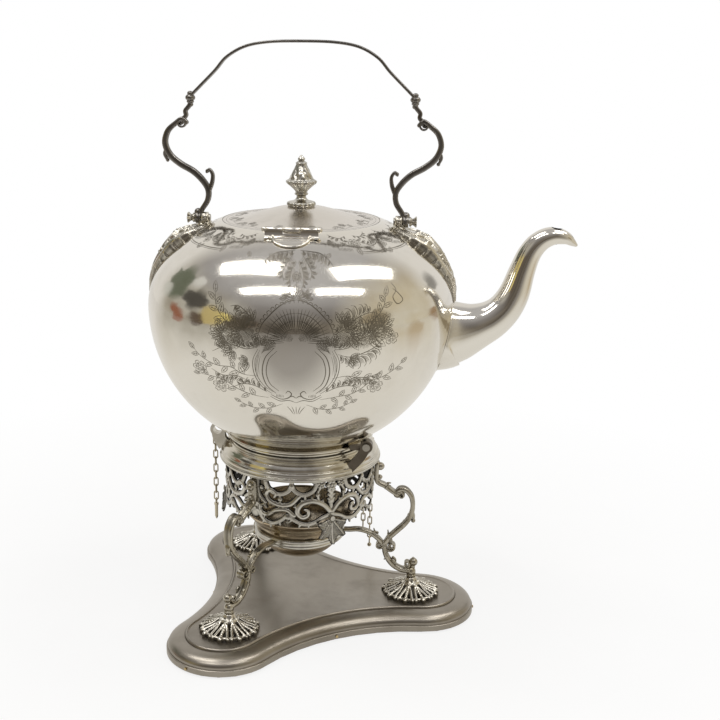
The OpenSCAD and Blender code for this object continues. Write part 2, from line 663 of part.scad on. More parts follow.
// Fork of the rear eye: two ears on the stand ring with one hole through both
module rear_fork() {
    in_y = tongue_half + gap;
    color("dimgray") difference() {
        union() for (y0 = [in_y, -in_y - fork_t]) {
            disc_y(-eye_x, y0, y0 + fork_t, eye_z, eye_r);
            translate([0, y0 + fork_t / 2, 0])
                strap([[-eye_x, eye_z], [-eye_x + 0.8, eye_z - 6], [-eye_x + 4, eye_z - 12]],
                    eye_r * 1.8, 7, fork_t);
            disc_y(-rear_chain_x, -in_y - 0.5, in_y + 0.5, rear_chain_z, staple_r);
        }
        disc_y(-eye_x, -20, 20, eye_z, eye_hole_r);
        ring_clear();
        translate([0, 0, ring_top_z - 1]) cylinder(h = 30, r = collar_r + gap);
    }
}

// Tongue on the kettle's foot that stands in the rear fork
module rear_tongue() {
    color("darkkhaki") difference() {
        union() {
            disc_y(-eye_x, -tongue_half, tongue_half, eye_z, eye_r - 0.4);
            translate([-eye_x, -tongue_half, collar_low_z + 2]) cube([eye_x - base_r, 2 * tongue_half, 4]);
        }
        disc_y(-eye_x, -20, 20, eye_z, eye_hole_r);
        translate([0, 0, collar_low_z - 1]) cylinder(h = 20, r = collar_r + fit);
        translate([0, 0, ring_top_z - 14]) cylinder(h = 14 + gap, r = ring_wide_r - 0.2);
    }
}

// Near pivot: a stud with a boss outside and a riveted head inside
module pivot_stud() {
    color("silver") {
        disc_y(pivot_x, -stand_ear_out - 0.1, -pivot_y + 0.4, pivot_z, pivot_pin_r);
        disc_y(pivot_x, -stand_ear_out - 1.5, -stand_ear_out - fit, pivot_z, 2.4);
        disc_y(pivot_x, -pivot_y + gap, -pivot_y + gap + 1, pivot_z, 2.3);
    }
}

// Far pivot: a plain pin that pulls out, with a collar and a ring for its chain
module pivot_pin() {
    y1 = stand_ear_out + fit;
    color("silver") {
        disc_y(pivot_x, pivot_y - 0.2, y1 + 0.3, pivot_z, pivot_pin_r);
        disc_y(pivot_x, y1, y1 + 1.2, pivot_z, 2.6);
        disc_y(pivot_x, y1 + 1, y1 + 3.2, pivot_z, 1.4);
        translate([pivot_x, far_chain_y, pivot_z]) rotate([0, 90, 0]) rotate_extrude()
            translate([pin_ring_r, 0]) circle(r = pin_wire_r);
    }
}

// A long chain link that stands along Z, turned by a quarter for every other link
module link(k) {
    side = link_len - 2 * (link_bend_r - wire_r);
    rotate([0, 0, 90 * k]) union() {
        for (s = [0, 1]) rotate([0, 180 * s, 0]) translate([0, 0, side / 2]) rotate([90, 0, 0])
            rotate_extrude(angle = 180) translate([link_bend_r, 0]) circle(r = wire_r);
        for (x = [-link_bend_r, link_bend_r]) translate([x, 0, -side / 2]) cylinder(h = side, r = wire_r);
    }
}

// A hanging chain whose first link rides on a round bar at x, y, z
module chain(x, y, z, bar_r, n) {
    for (k = [0:n - 1])
        translate([x, y, z + bar_r + link_play / 2 - link_len / 2 - k * (link_len - link_play)]) link(k);
}

// Height of the centre of the link after the last one
function chain_end(z, bar_r, n) = z + bar_r + link_play / 2 - link_len / 2 - n * (link_len - link_play);

module far_chain() {
    z = pivot_z - pin_ring_r;
    color("silver") {
        chain(pivot_x, far_chain_y, z, pin_wire_r, far_links);
        translate([pivot_x, far_chain_y, chain_end(z, pin_wire_r, far_links) + 1.35]) rotate([0, 0, 25])
            sphere(r = 1.5);
    }
}

// The strand that joins the pin's chain to a stud on the stand's far bracket
module side_chain() {
    color("silver") chain(side_stud_x, far_chain_y, side_stud_z, staple_r, side_links);
}

// The rear chain hangs from a cross bar in the fork, outside the ring
module rear_chain() {
    color("silver") chain(-rear_chain_x, 0, rear_chain_z, staple_r, rear_links);
}

// Lock pin at the end of the rear chain: a ring and a pointed shank
module lock_pin() {
    z = chain_end(rear_chain_z, staple_r, rear_links) + link_len / 2 - (1.5 - wire_r);
    color("silver") translate([-rear_chain_x, 0, z]) {
        rotate([90, 0, 90 * rear_links]) rotate_extrude() translate([1.5, 0]) circle(r = wire_r);
        translate([0, 0, -3.3]) cylinder(h = 1.5, r = 1.5);
        translate([0, 0, -11.5]) cylinder(h = 8.5, r = 1.1);
        translate([0, 0, -13.5]) cylinder(h = 2, r1 = 0.4, r2 = 1.1);
    }
}

// Spout: each section's centre, measured from the body's widest line, its half height and half width
spout_rows = [for (p = [
    [-22, -20.5, 22.6, 21.5], [-8, -19.2, 22.6, 21.3], [-2.5, -17.2, 22.1, 19.5], [6, -15.5, 19, 16.2],
    [16.5, -12, 14.6,
    13.4], [25.5, -7.2, 12.3, 11.6], [33, 0, 10.6, 10.2], [38.4, 10, 9.3, 9.2], [42.4, 24, 7.8,
    8.1], [46.6, 35.6, 6.9, 7.3], [52.6, 43.4, 6.5, 6.9], [60, 46.6, 5.7, 6.3], [67.5, 45.6,
    4.2, 5], [72, 42.8, 2.4, 3.2], [74.8, 40.8, 0.9, 1.6]])
    [body_r + p[0], body_mid_z + p[1], p[2], p[3]]];
function spout_section(rows, i, t, n) = let (
    a = rows[max(i - 1, 0)], b = rows[min(i + 1, len(rows) - 1)], d = [b[0] - a[0], b[1] - a[1]],
    u = [-d[1], d[0]] / norm(d), c = rows[i], h = c[2] - t, w = c[3] - t)
    [for (j = [0:n - 1]) let (q = 360 * j / n) [c[0] + u[0] * h * sin(q), w * cos(q),
        c[1] + u[1] * h * sin(q)]];
module tube(rows, t) {
    n = 20;
    m = len(rows);
    points = [for (i = [0:m - 1]) each spout_section(rows, i, t, n)];
    faces = concat(
        [for (i = [0:m - 2]) for (j = [0:n - 1]) [i * n + j, (i + 1) * n + j, (i + 1) * n + (j + 1) % n]],
        [for (i = [0:m - 2]) for (j = [0:n - 1]) [i * n + j, (i + 1) * n + (j + 1) % n, i * n + (j + 1)
            % n]],
        [for (j = [1:n - 2]) [0, j, j + 1]],
        [for (j = [1:n - 2]) [(m - 1) * n, (m - 1) * n + j + 1, (m - 1) * n + j]]);
    polyhedron(points, faces, convexity = 6);
}

module spout() {
    wall = 1.1;
    hollow = [for (i = [0:11]) spout_rows[i]];
    color("silver") difference() {
        tube(spout_rows, 0);
        translate([-2, 0, 0]) tube(hollow, wall);
        translate([body_r + 60.5, 0, body_mid_z + 44]) rotate([0, 12, 0]) cylinder(h = 12, r = 3.4);
        body_solid(fit);
    }
}

function lid_line(t) = [lid_r + (8 - lid_r) * t, mouth_z + lid_rise * (1 - pow(cos(90 * t), 1.6))];

module lid() {
    plug_r = mouth_r - ledge_w - 0.7;
    color("silver") difference() {
        turned(concat([[lid_r, lid_low_z], [lid_r, mouth_z]], [for (i = [1:8]) lid_line(i / 8)],
            [[0, lid_top_z], [0, lid_top_z - lid_t]],
            [for (i = [8:-1:2]) let (p = lid_line(i / 8)) [p[0] - 0.4, p[1] - lid_t]],
            [[plug_r - 1, lid_low_z + 0.4], [plug_r - 1, lid_low_z - lid_plug_h],
                [plug_r, lid_low_z - lid_plug_h], [plug_r, lid_low_z]]));
        translate([0, 0, lid_top_z - 5]) cylinder(h = 10, r = 1.5 + fit);
    }
}

// Lid hinge: the body's half round plate with two outer knuckles, the lid's leaf with the middle one
module lid_hinge_plate() {
    part = hinge_len / 3;
    color("silver") difference() {
        union() {
            for (x0 = [-hinge_len / 2, part / 2 + 0.15]) {
                disc_x(x0, x0 + part - 0.15, -hinge_y, hinge_z, hinge_r);
                translate([x0, -hinge_y - 1.6, hinge_z - 4]) cube([part - 0.15, 1.9, 4]);
            }
            intersection() {
                translate([0, -hinge_y - 0.8, hinge_z - 20]) cylinder(h = 24, r = hinge_plate_r);
                difference() {
                    body_solid(1.4);
                    translate([-50, -hinge_y - 0.8, 0]) cube([100, 200, 400]);
                }
                translate([-50, -100, hinge_z - 12]) cube([100, 100, 11.2]);
            }
        }
        body_solid(fit);
        disc_x(-50, 50, -hinge_y, hinge_z, hinge_pin_r + fit);
        translate([-part / 2 - 0.15, -hinge_y - 2.3, hinge_z - 2.3]) cube([part + 0.3, 5, 5]);
    }
}

module lid_leaf() {
    part = hinge_len / 3;
    color("silver") difference() {
        union() {
            disc_x(-part / 2 + 0.15, part / 2 - 0.15, -hinge_y, hinge_z, hinge_r);
            translate([-part / 2 + 0.15, -hinge_y, hinge_z - 0.6]) cube([part - 0.3, 7, 1.4]);
            translate([-part / 2 + 0.15, -hinge_y + 4.4, mouth_z + 0.3]) cube([part - 0.3, 2.6, 2]);
        }
        disc_x(-50, 50, -hinge_y, hinge_z, hinge_pin_r + run);
        turned(concat([[0, lid_low_z], [lid_r + fit, lid_low_z], [lid_r + fit, mouth_z + fit]],
            [for (i = [1:8]) lid_line(i / 8) + [0, fit]], [[0, lid_top_z]]));
    }
}

module lid_hinge_pin() {
    color("silver") disc_x(-hinge_len / 2 - 0.8, hinge_len / 2 + 0.8, -hinge_y, hinge_z, hinge_pin_r);
}

// Finial: gadrooned base, neck, fluted cup with a beaded lip, flower and bead
module finial() {
    z = finial_z;
    k = finial_h / 32;
    r = finial_r;
    color("silver") difference() {
        union() {
            turned([[0, z], [8.8, z], [9.2, z + 1.2 * k], [8.2, z + 2.6 * k], [4.6, z + 3.6 * k],
                [3.2, z + 5.6 * k], [3, z + 7.6 * k], [4.4, z + 10 * k], [r - 2, z + 13.2 * k],
                [r, z + 15 * k], [r - 0.6, z + 16.2 * k], [7.4, z + 18 * k], [5.6, z + 21 * k],
                [3.9, z + 24 * k], [3.1, z + 26 * k], [3.4, z + 27 * k], [2.4, z + 28.4 * k], [0,
                    z + 28.8 * k]]);
            translate([0, 0, z + 29.4 * k]) sphere(r = 2);
            translate([0, 0, z + 30 * k]) cylinder(h = 2 * k, r1 = 1.4, r2 = 0.3);
        }
    }
    color("silver") translate([0, 0, lid_top_z - 5.5]) cylinder(h = 5.6, r = 1.5);
}

module finial_nut() {
    color("silver") translate([0, 0, lid_top_z - lid_t - 2.4]) difference() {
        cylinder(h = 2.3, r = 3.4, $fn = 6);
        translate([0, 0, -1]) cylinder(h = 5, r = 1.5 + fit);
    }
}

// Handle mount: a ribbed shell on the shoulder, high at the pivot and drawn out into a tail
mount_rows = [for (p = [
    [0, 0.08, 0.5], [0.159, 0.3, 0.84], [0.317, 0.78, 1], [0.476, 1, 1], [0.635, 0.88, 0.9],
    [0.767, 0.7, 0.72], [0.873, 0.56, 0.52], [0.952, 0.4, 0.32], [1, 0.15, 0.14]])
    [(1 - p[0]) * (pivot_half - 6.5) + p[0] * (body_r - 0.2), p[1], p[2]]];
function body_z(r) = body_mid_z + body_up * sqrt(1 - pow(r / body_r, 2));
function on_body(r, turn_a, lift) = let (
    z = body_z(r), q = [r / pow(body_r, 2), (z - body_mid_z) / pow(body_up, 2)], u = q / norm(q),
    out = r + u[0] * lift) [out * cos(turn_a), out * sin(turn_a), z + u[1] * lift];
function mount_section(row, n) = let (
    r = row[0], h = row[1] * mount_h, half = row[2] * mount_w / r * 180 / PI)
    concat([for (j = [0:n]) let (q = 180 * j / n) on_body(r, half * cos(q), mount_seat + h * sin(q) + 0.3)],
        [for (j = [0:n]) let (q = 180 * j / n) on_body(r, half * cos(q), mount_seat)]);
module mount_shell() {
    n = 12;
    m = len(mount_rows);
    c = 2 * n + 2;
    points = [for (row = mount_rows) each mount_section(row, n)];
    ring = concat([for (j = [0:n]) j], [for (j = [n:-1:0]) n + 1 + j]);
    faces = concat(
        [for (i = [0:m - 2]) for (j = [0:c - 1]) let (p = ring[j], q = ring[(j + 1) % c])
            [i * c + p, (i + 1) * c + p, (i + 1) * c + q]],
        [for (i = [0:m - 2]) for (j = [0:c - 1]) let (p = ring[j], q = ring[(j + 1) % c])
            [i * c + p, (i + 1) * c + q, i * c + q]],
        [for (j = [0:n - 1]) [j, j + 1, n + 1 + j]],
        [for (j = [0:n - 1]) [j + 1, n + 2 + j, n + 1 + j]],
        [for (j = [0:n - 1]) (m - 1) * c * [1, 1, 1] + [j, n + 1 + j, j + 1]],
        [for (j = [0:n - 1]) (m - 1) * c * [1, 1, 1] + [j + 1, n + 1 + j, n + 2 + j]]);
    polyhedron(points, faces, convexity = 6);
}

// The right mount; the left one is its mirror image
module handle_mount() {
    x0 = lug_out - lug_len;
    difference() {
        union() {
            mount_shell();
            disc_x(x0, lug_out, 0, handle_z, arm_eye_r);
            rotate([90, 0, 0]) linear_extrude(height = 5, center = true)
                polygon([[x0, body_z(x0) + 0.5], [lug_out, body_z(lug_out) + 0.5], [lug_out, handle_z],
                    [x0, handle_z]]);
        }
        disc_x(x0 - 5, lug_out + 5, 0, handle_z, handle_pin_r + fit);
    }
}

module handle_mount_right() { color("gray") handle_mount(); }
module handle_mount_left() { color("gray") mirror([1, 0, 0]) handle_mount(); }

module handle_screws() {
    color("silver") for (s = [0, 1]) mirror([s, 0, 0]) {
        disc_x(lug_out - lug_len - 0.5, nut_in + 3.4, 0, handle_z, handle_pin_r);
        disc_x(lug_out - lug_len - 1.2, lug_out - lug_len - fit, 0, handle_z, 2.4);
    }
}

module flower_nuts() {
    color("gray") for (s = [0, 1]) mirror([s, 0, 0]) difference() {
        translate([nut_in, 0, handle_z]) rotate([0, 90, 0]) union() {
            cylinder(h = 1.6, r1 = 3.2, r2 = 2.6);
            translate([0, 0, 1.5]) cylinder(h = 1.6, r = 1.9);
            translate([0, 0, 3]) cylinder(h = 2.2, r1 = 1.9, r2 = 3);
        }
        disc_x(nut_in - 1, nut_in + 3.6, 0, handle_z, handle_pin_r + fit);
    }
}

// Cast scroll arm on the right: eye, S curve, fork with a curl, outer C, volute and neck
module handle_arm() {
    z = handle_z;
    mid = arm_in + arm_eye_t / 2;
    difference() {
        union() {
            disc_x(arm_in, arm_in + arm_eye_t, 0, z, arm_eye_r);
            strap([[mid, z + 1], [mid - 2.6, z + 5.6], [mid - 6.2, z + 11.5], [mid - 6.6, z + 18],
                [mid - 3, z + 24], [mid + 2.9, z + 29.5], [mid + 10.9, z + 34], [mid + 17.4, z + 39.5],
                [mid + 20.5, z + 47], [mid + 18.5, z + 54.5], [mid + 13.3, z + 59.4], [mid + 8.5, z + 61.5],
                [mid + 5.9, z + 65],
                [bow_end_x, bow_end_z - 4.6]], 3.4, 3.2, arm_depth);
            strap([[mid - 6.5, z + 16], [mid - 9, z + 22], [mid - 9.6, z + 27.5], [mid - 7, z + 30.4]],
                2.8, 2, arm_depth, 3);
            strap([[mid + 18.9, z + 43.5], [mid + 20.5, z + 40], [mid + 19.5, z + 36.4]], 2.6, 1.8,
                arm_depth, 3);
            translate([mid + 9.9, 0, z + 60]) rotate([90, 0, 0]) cylinder(h = arm_depth, r = 3.4,
                center = true);
            translate([bow_end_x, 0, bow_end_z - 5]) cylinder(h = 3, r = 1.9);
        }
        disc_x(arm_in - 5, arm_in + 10, 0, z, handle_pin_r + run);
        disc_x(arm_in - 24, arm_in, 0, z, arm_eye_r + 0.6);
        disc_x(arm_in + arm_eye_t, arm_in + 26, 0, z, arm_eye_r + 0.6);
    }
}

module handle_arm_right() { color("dimgray") handle_arm(); }
module handle_arm_left() { color("dimgray") mirror([1, 0, 0]) handle_arm(); }

function bow_half() = let (z = handle_z, h = bow_rise, e = bow_end_x)
    [[bow_end_x - 1, bow_end_z + 3.4], [e * 0.907, z + h * 0.745], [e * 0.771, z + h * 0.83],
        [e * 0.664, z + h * 0.905],
        [e * 0.5, z + h * 0.962], [e * 0.286, z + h * 0.986], [0, z + h - bow_t / 2]];

// Bow: a thin strap between the two end knobs
module handle_bow() {
    right = bow_half();
    all = concat(right, [for (i = [len(right) - 2:-1:0]) [-right[i][0], right[i][1]]]);
    color("dimgray") strap(all, bow_t, bow_t, bow_w, 4);
}

module bow_knobs() {
    color("dimgray") for (s = [0, 1]) mirror([s, 0, 0]) difference() {
        union() {
            translate([bow_end_x, 0, bow_end_z - 2 + fit]) cylinder(h = 2.4, r = 2.4);
            translate([bow_end_x, 0, bow_end_z + 1.6]) sphere(r = 3.2);
        }
        strap([for (p = bow_half()) p], bow_t + 2 * fit, bow_t + 2 * fit, bow_w + 2 * fit, 4);
    }
}

plinth_board();
plinth_cover();
plinth_nails();
foot_bolts();
foot_nuts();
foot_shell_right();
foot_shell_back();
foot_shell_front();
leg_right();
leg_back();
leg_front();
leg_screws();
arm_rivets();
stand_ring();
gallery();
leaf_near();
leaf_far();
leaf_rear();
leaf_rivets();
burner_ring();
lamp_bowl();
lamp_cover();
lamp_wick();
stand_ear_near();
stand_ear_far();
rear_fork();
kettle_body();
kettle_collar();
kettle_ear_near();
kettle_ear_far();
rear_tongue();
pivot_stud();
pivot_pin();
far_chain();
side_chain();
rear_chain();
lock_pin();
spout();
lid();
lid_hinge_plate();
lid_leaf();
lid_hinge_pin();
finial();
finial_nut();
handle_mount_left();
handle_mount_right();
handle_screws();
flower_nuts();
handle_arm_left();
handle_arm_right();
handle_bow();
bow_knobs();
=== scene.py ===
# %% [markdown]
# # Spirit kettle on its stand
# The construction model is loaded first and stays where it is. It holds every part of the kettle and its
# stand as an exact solid. Here each part gets its finish, and the turned, cast and engraved parts are
# made again with the fine shape that a plain solid leaves out.

import json
import math
import random

import bpy
import numpy as np
from mathutils import Matrix, Vector

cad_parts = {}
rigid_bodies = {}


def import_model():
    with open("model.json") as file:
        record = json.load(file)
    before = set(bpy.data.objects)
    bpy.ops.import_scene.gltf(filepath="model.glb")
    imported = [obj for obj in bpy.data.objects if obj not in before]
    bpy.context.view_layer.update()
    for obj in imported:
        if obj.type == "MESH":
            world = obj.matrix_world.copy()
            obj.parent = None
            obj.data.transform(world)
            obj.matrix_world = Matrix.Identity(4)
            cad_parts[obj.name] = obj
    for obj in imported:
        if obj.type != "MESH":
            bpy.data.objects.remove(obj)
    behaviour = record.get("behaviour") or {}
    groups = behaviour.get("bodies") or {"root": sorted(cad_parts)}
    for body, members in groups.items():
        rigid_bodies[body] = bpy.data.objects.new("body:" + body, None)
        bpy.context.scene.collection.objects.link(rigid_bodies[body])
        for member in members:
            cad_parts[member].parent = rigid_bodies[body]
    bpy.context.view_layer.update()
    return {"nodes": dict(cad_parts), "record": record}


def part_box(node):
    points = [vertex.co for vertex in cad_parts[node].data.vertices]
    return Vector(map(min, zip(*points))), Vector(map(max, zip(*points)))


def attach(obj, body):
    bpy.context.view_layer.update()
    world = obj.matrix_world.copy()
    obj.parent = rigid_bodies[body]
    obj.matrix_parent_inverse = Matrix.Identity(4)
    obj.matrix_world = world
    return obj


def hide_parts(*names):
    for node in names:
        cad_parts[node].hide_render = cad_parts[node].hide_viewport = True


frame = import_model()
nodes = frame["nodes"]
MM = 0.001

# %% [markdown]
# ## The photograph's view
# A long lens stands three quarters of a metre away, a little above the lid, and looks down by about
# sixteen degrees. The kettle stands left of the frame's middle, so the lens is shifted and not turned:
# that keeps the upright lines as the photograph has them.

# %% Camera
VIEW_TURN = 6.0        # degrees that the viewer stands round towards the spout
VIEW_PITCH = 15.76
VIEW_ROLL = 0.28
VIEW_DISTANCE = 750.0  # millimetres, level
VIEW_HEIGHT = 385.5
LENS = 59.37
SHIFT = 0.0826


def make_camera():
    data = bpy.data.cameras.new("camera")
    data.lens, data.sensor_width, data.shift_x = LENS, 36.0, SHIFT
    data.clip_start, data.clip_end = 0.02, 40.0
    camera = bpy.data.objects.new("camera", data)
    turn = math.radians(VIEW_TURN)
    place = Vector((VIEW_DISTANCE * math.sin(turn), -VIEW_DISTANCE * math.cos(turn), VIEW_HEIGHT)) * MM
    tilted = Matrix.Rotation(math.radians(90 - VIEW_PITCH), 4, "X")
    rolled = Matrix.Rotation(math.radians(VIEW_ROLL), 4, "Z")
    camera.matrix_world = Matrix.Translation(place) @ Matrix.Rotation(turn, 4, "Z") @ tilted @ rolled
    bpy.context.scene.collection.objects.link(camera)
    bpy.context.scene.camera = camera
    return camera


camera = make_camera()
print("camera at", [round(c, 3) for c in camera.matrix_world.translation])

# %% [markdown]
# ## Node helpers
# Every finish is a small tree of nodes. One helper adds a node, sets its options and joins its inputs,
# so that the trees below read like a list of what the finish is made of.


# %% Helpers for node trees
def put(tree, kind, inputs=None, **options):
    node = tree.nodes.new(kind)
    for name, value in options.items():
        setattr(node, name, value)
    for key, value in (inputs or {}).items():
        socket = node.inputs[key]
        if isinstance(value, bpy.types.NodeSocket):
            tree.links.new(value, socket)
        else:
            socket.default_value = value
    return node


def calc(tree, operation, a, b=0.5, clamp=False):
    return put(tree, "ShaderNodeMath", {0: a, 1: b}, operation=operation, use_clamp=clamp).outputs[0]


def mixed(tree, share, a, b):
    node = put(tree, "ShaderNodeMix", {"Factor": share}, data_type="RGBA")
    for name, value in (("A", a), ("B", b)):
        socket = [s for s in node.inputs if s.name == name and s.type == "RGBA"][0]
        if isinstance(value, bpy.types.NodeSocket):
            tree.links.new(value, socket)
        else:
            socket.default_value = (*value[:3], 1.0)
    return [s for s in node.outputs if s.type == "RGBA"][0]


def stretch(tree, value, low, high, to_low=0.0, to_high=1.0):
    return put(tree, "ShaderNodeMapRange", {0: value, 1: low, 2: high, 3: to_low, 4: to_high}).outputs[0]


def noise(tree, place, scale, detail, **more):
    given = {"Vector": place, "Scale": scale, "Detail": detail, **more}
    return put(tree, "ShaderNodeTexNoise", given).outputs["Fac"]


def vector(tree, operation, a, b=None):
    node = put(tree, "ShaderNodeVectorMath", {0: a} if b is None else {0: a, 1: b}, operation=operation)
    return node.outputs["Value" if operation in ("DOT_PRODUCT", "LENGTH") else "Vector"]


def new_material(name):
    material = bpy.data.materials.new(name)
    material.use_nodes = True
    material.node_tree.nodes.clear()
    return material, material.node_tree


def new_group(name, inputs, outputs):
    group = bpy.data.node_groups.new(name, "ShaderNodeTree")
    for label, kind, value in inputs:
        socket = group.interface.new_socket(label, in_out="INPUT", socket_type=kind)
        socket.default_value = value
    for label, kind in outputs:
        group.interface.new_socket(label, in_out="OUTPUT", socket_type=kind)
    return group, group.nodes.new("NodeGroupInput").outputs, group.nodes.new("NodeGroupOutput").inputs


print("node helpers ready")

# %% [markdown]
# ## Floor and backdrop
# Polished metal shows the room more than itself. One node group gives the colours of a plain room by
# direction: pale behind and to the right, dim in front, grey overhead, with a few darker patches. A large
# sphere that only reflections see wears it, and so does the far part of the floor, so no hard horizon
# shows in the metal. The camera sees a floor that fades to white and keeps a soft shadow.


# %% Group: colours of the room
ROOM_MIDDLE = 0.2      # metres above the floor, where the room is seen from
PATCHES = [(-152, 9, 12, (0.56, 0.45, 0.19)), (-139, 12, 5, (0.80, 0.66, 0.22)),
    (-173, 21, 11, (0.045, 0.04, 0.035)), (160, 22, 13, (0.12, 0.14, 0.095)),
    (173, 36, 6, (0.74, 0.73, 0.70)), (152, 12, 4, (0.62, 0.62, 0.58)), (173, -1, 8, (0.30, 0.10, 0.05)),
    (-165, 1, 8, (0.10, 0.065, 0.045)), (-128, 6, 11, (0.13, 0.10, 0.075)),
    (31, -4, 7, (0.32, 0.20, 0.10)), (41, 15, 6, (0.26, 0.25, 0.23)), (6, -14, 8, (0.46, 0.34, 0.18)),
    (-28, 12, 12, (0.30, 0.245, 0.16))]


def aim(turn, up):
    a, b = math.radians(turn), math.radians(up)
    return math.cos(a) * math.cos(b), math.sin(a) * math.cos(b), math.sin(b)


def make_room():
    group, given, out = new_group("room_colours", [("Direction", "NodeSocketVector", (0.0, 0.0, 1.0))],
        [("Color", "NodeSocketColor")])
    way = given["Direction"]
    split = put(group, "ShaderNodeSeparateXYZ", {0: way}).outputs
    clouds = noise(group, way, 3.0, 3.0)
    dim = mixed(group, stretch(group, clouds, 0.35, 0.65), (0.085, 0.072, 0.06), (0.19, 0.165, 0.135))
    ceiling = mixed(group, stretch(group, split["Z"], 0.55, 0.92), (0.30, 0.285, 0.28), (0.52, 0.51, 0.51))
    room = mixed(group, stretch(group, split["Z"], 0.16, 0.62), dim, ceiling)
    side = mixed(group, stretch(group, clouds, 0.3, 0.7), (0.60, 0.52, 0.37), (0.72, 0.68, 0.58))
    room = mixed(group, stretch(group, split["X"], 0.42, 0.86), room, side)
    side = mixed(group, stretch(group, clouds, 0.3, 0.7), (0.34, 0.31, 0.25), (0.62, 0.60, 0.54))
    low = calc(group, "MULTIPLY", stretch(group, split["X"], -0.42, -0.8),
        stretch(group, split["Z"], 0.7, 0.5))
    room = mixed(group, low, room, side)
    room = mixed(group, stretch(group, split["Y"], 0.34, 0.62), room, (0.83, 0.81, 0.78))
    jagged = put(group, "ShaderNodeTexVoronoi", {"Vector": way, "Scale": 6.5, "Randomness": 0.85},
        distance="CHEBYCHEV").outputs["Position"]
    jagged = vector(group, "NORMALIZE", jagged)
    jagged = put(group, "ShaderNodeMix", {"Factor": 0.55, 4: way, 5: jagged}, data_type="VECTOR").outputs[1]
    for turn, up, size, paint in PATCHES:
        near = vector(group, "DOT_PRODUCT", jagged, aim(turn, up))
        edge = stretch(group, near, math.cos(math.radians(size + 1.5)),
            math.cos(math.radians(size - 1.5)), 0.0, 0.9)
        room = mixed(group, edge, room, paint)
    group.links.new(room, out["Color"])
    return group


ROOM = make_room()
print("room colours:", len(PATCHES), "patches")


# %% Stage
def make_disc(name, radius, height):
    mesh = bpy.data.meshes.new(name)
    ring = [(radius * math.cos(a), radius * math.sin(a), height) for a in np.linspace(0, 2 * math.pi,
        97)[:-1]]
    mesh.from_pydata(ring, [], [list(range(96))])
    piece = bpy.data.objects.new(name, mesh)
    bpy.context.scene.collection.objects.link(piece)
    return piece


def floor_material():
    material, tree = new_material("pale_floor")
    path = put(tree, "ShaderNodeLightPath").outputs
    place = put(tree, "ShaderNodeNewGeometry").outputs["Position"]
    near = vector(tree, "LENGTH", place)
    grain = noise(tree, place, 30.0, 4.0)
    paint = mixed(tree, stretch(tree, grain, 0.3, 0.7), (0.86, 0.855, 0.84), (0.89, 0.885, 0.875))
    lit = put(tree, "ShaderNodeBsdfPrincipled", {"Base Color": paint, "Roughness": 0.9})
    below = vector(tree, "ADD", place, (0.0, 0.0, -ROOM_MIDDLE))
    way = vector(tree, "NORMALIZE", below)
    room = put(tree, "ShaderNodeGroup", {"Direction": way}, node_tree=ROOM).outputs["Color"]
    seen = mixed(tree, stretch(tree, near, 0.36, 0.85), (0.80, 0.775, 0.72), room)
    front = vector(tree, "DOT_PRODUCT", way, aim(-90, -18))
    seen = mixed(tree, stretch(tree, front, 0.84, 0.97, 0.0, 0.85), seen, (0.15, 0.13, 0.115))
    white = put(tree, "ShaderNodeEmission", {"Color": (1.0, 1.0, 1.0, 1.0)})
    shown = put(tree, "ShaderNodeEmission", {"Color": seen})
    fade = stretch(tree, near, 0.16, 0.5, 0.80, 1.0)
    camera_share = calc(tree, "MULTIPLY", path["Is Camera Ray"], fade)
    for_camera = put(tree, "ShaderNodeMixShader", {0: camera_share, 1: lit.outputs[0], 2: white.outputs[0]})
    glossy = calc(tree, "MAXIMUM", path["Is Glossy Ray"], path["Is Transmission Ray"])
    glossy_share = calc(tree, "MULTIPLY", glossy, 0.8)
    both = put(tree, "ShaderNodeMixShader", {0: glossy_share, 1: for_camera.outputs[0], 2: shown.outputs[0]})
    put(tree, "ShaderNodeOutputMaterial", {0: both.outputs[0]})
    return material


floor = make_disc("floor", 6.0, -0.0004)
floor.data.materials.append(floor_material())
print("floor laid")


# %% Backdrop for reflections
def backdrop_material():
    material, tree = new_material("studio_walls")
    place = put(tree, "ShaderNodeTexCoord").outputs["Object"]
    way = vector(tree, "NORMALIZE", place)
    walls = put(tree, "ShaderNodeGroup", {"Direction": way}, node_tree=ROOM).outputs["Color"]
    glow = put(tree, "ShaderNodeEmission", {"Color": walls})
    put(tree, "ShaderNodeOutputMaterial", {0: glow.outputs[0]})
    return material


bpy.ops.mesh.primitive_uv_sphere_add(segments=48, ring_count=24, radius=3.0, location=(0, 0, ROOM_MIDDLE))
walls = bpy.context.object
walls.name = "studio_walls"
walls.data.materials.append(backdrop_material())
walls.visible_camera = walls.visible_diffuse = walls.visible_shadow = False
print("backdrop set")


# %% World and lamps
def make_world():
    world = bpy.data.worlds.new("studio")
    world.use_nodes = True
    tree = world.node_tree
    tree.nodes.clear()
    path = put(tree, "ShaderNodeLightPath").outputs
    seen = calc(tree, "MAXIMUM", path["Is Camera Ray"], path["Is Glossy Ray"])
    seen = calc(tree, "MAXIMUM", seen, path["Is Transmission Ray"])
    light = put(tree, "ShaderNodeBackground", {"Color": (1.0, 0.985, 0.96, 1.0), "Strength": 0.55})
    white = put(tree, "ShaderNodeBackground", {"Color": (1.0, 1.0, 1.0, 1.0), "Strength": 1.0})
    both = put(tree, "ShaderNodeMixShader", {0: seen, 1: light.outputs[0], 2: white.outputs[0]})
    put(tree, "ShaderNodeOutputWorld", {0: both.outputs[0]})
    bpy.context.scene.world = world


def add_lamp(name, place, size, turn, watts, colour=(1.0, 0.985, 0.955)):
    data = bpy.data.lights.new(name, "AREA")
    data.shape, data.size, data.size_y = "RECTANGLE", size[0], size[1]
    data.energy, data.color = watts, colour
    lamp = bpy.data.objects.new(name, data)
    lamp.location = place
    lamp.rotation_euler = (0, 0, math.radians(turn))
    bpy.context.scene.collection.objects.link(lamp)
    return lamp


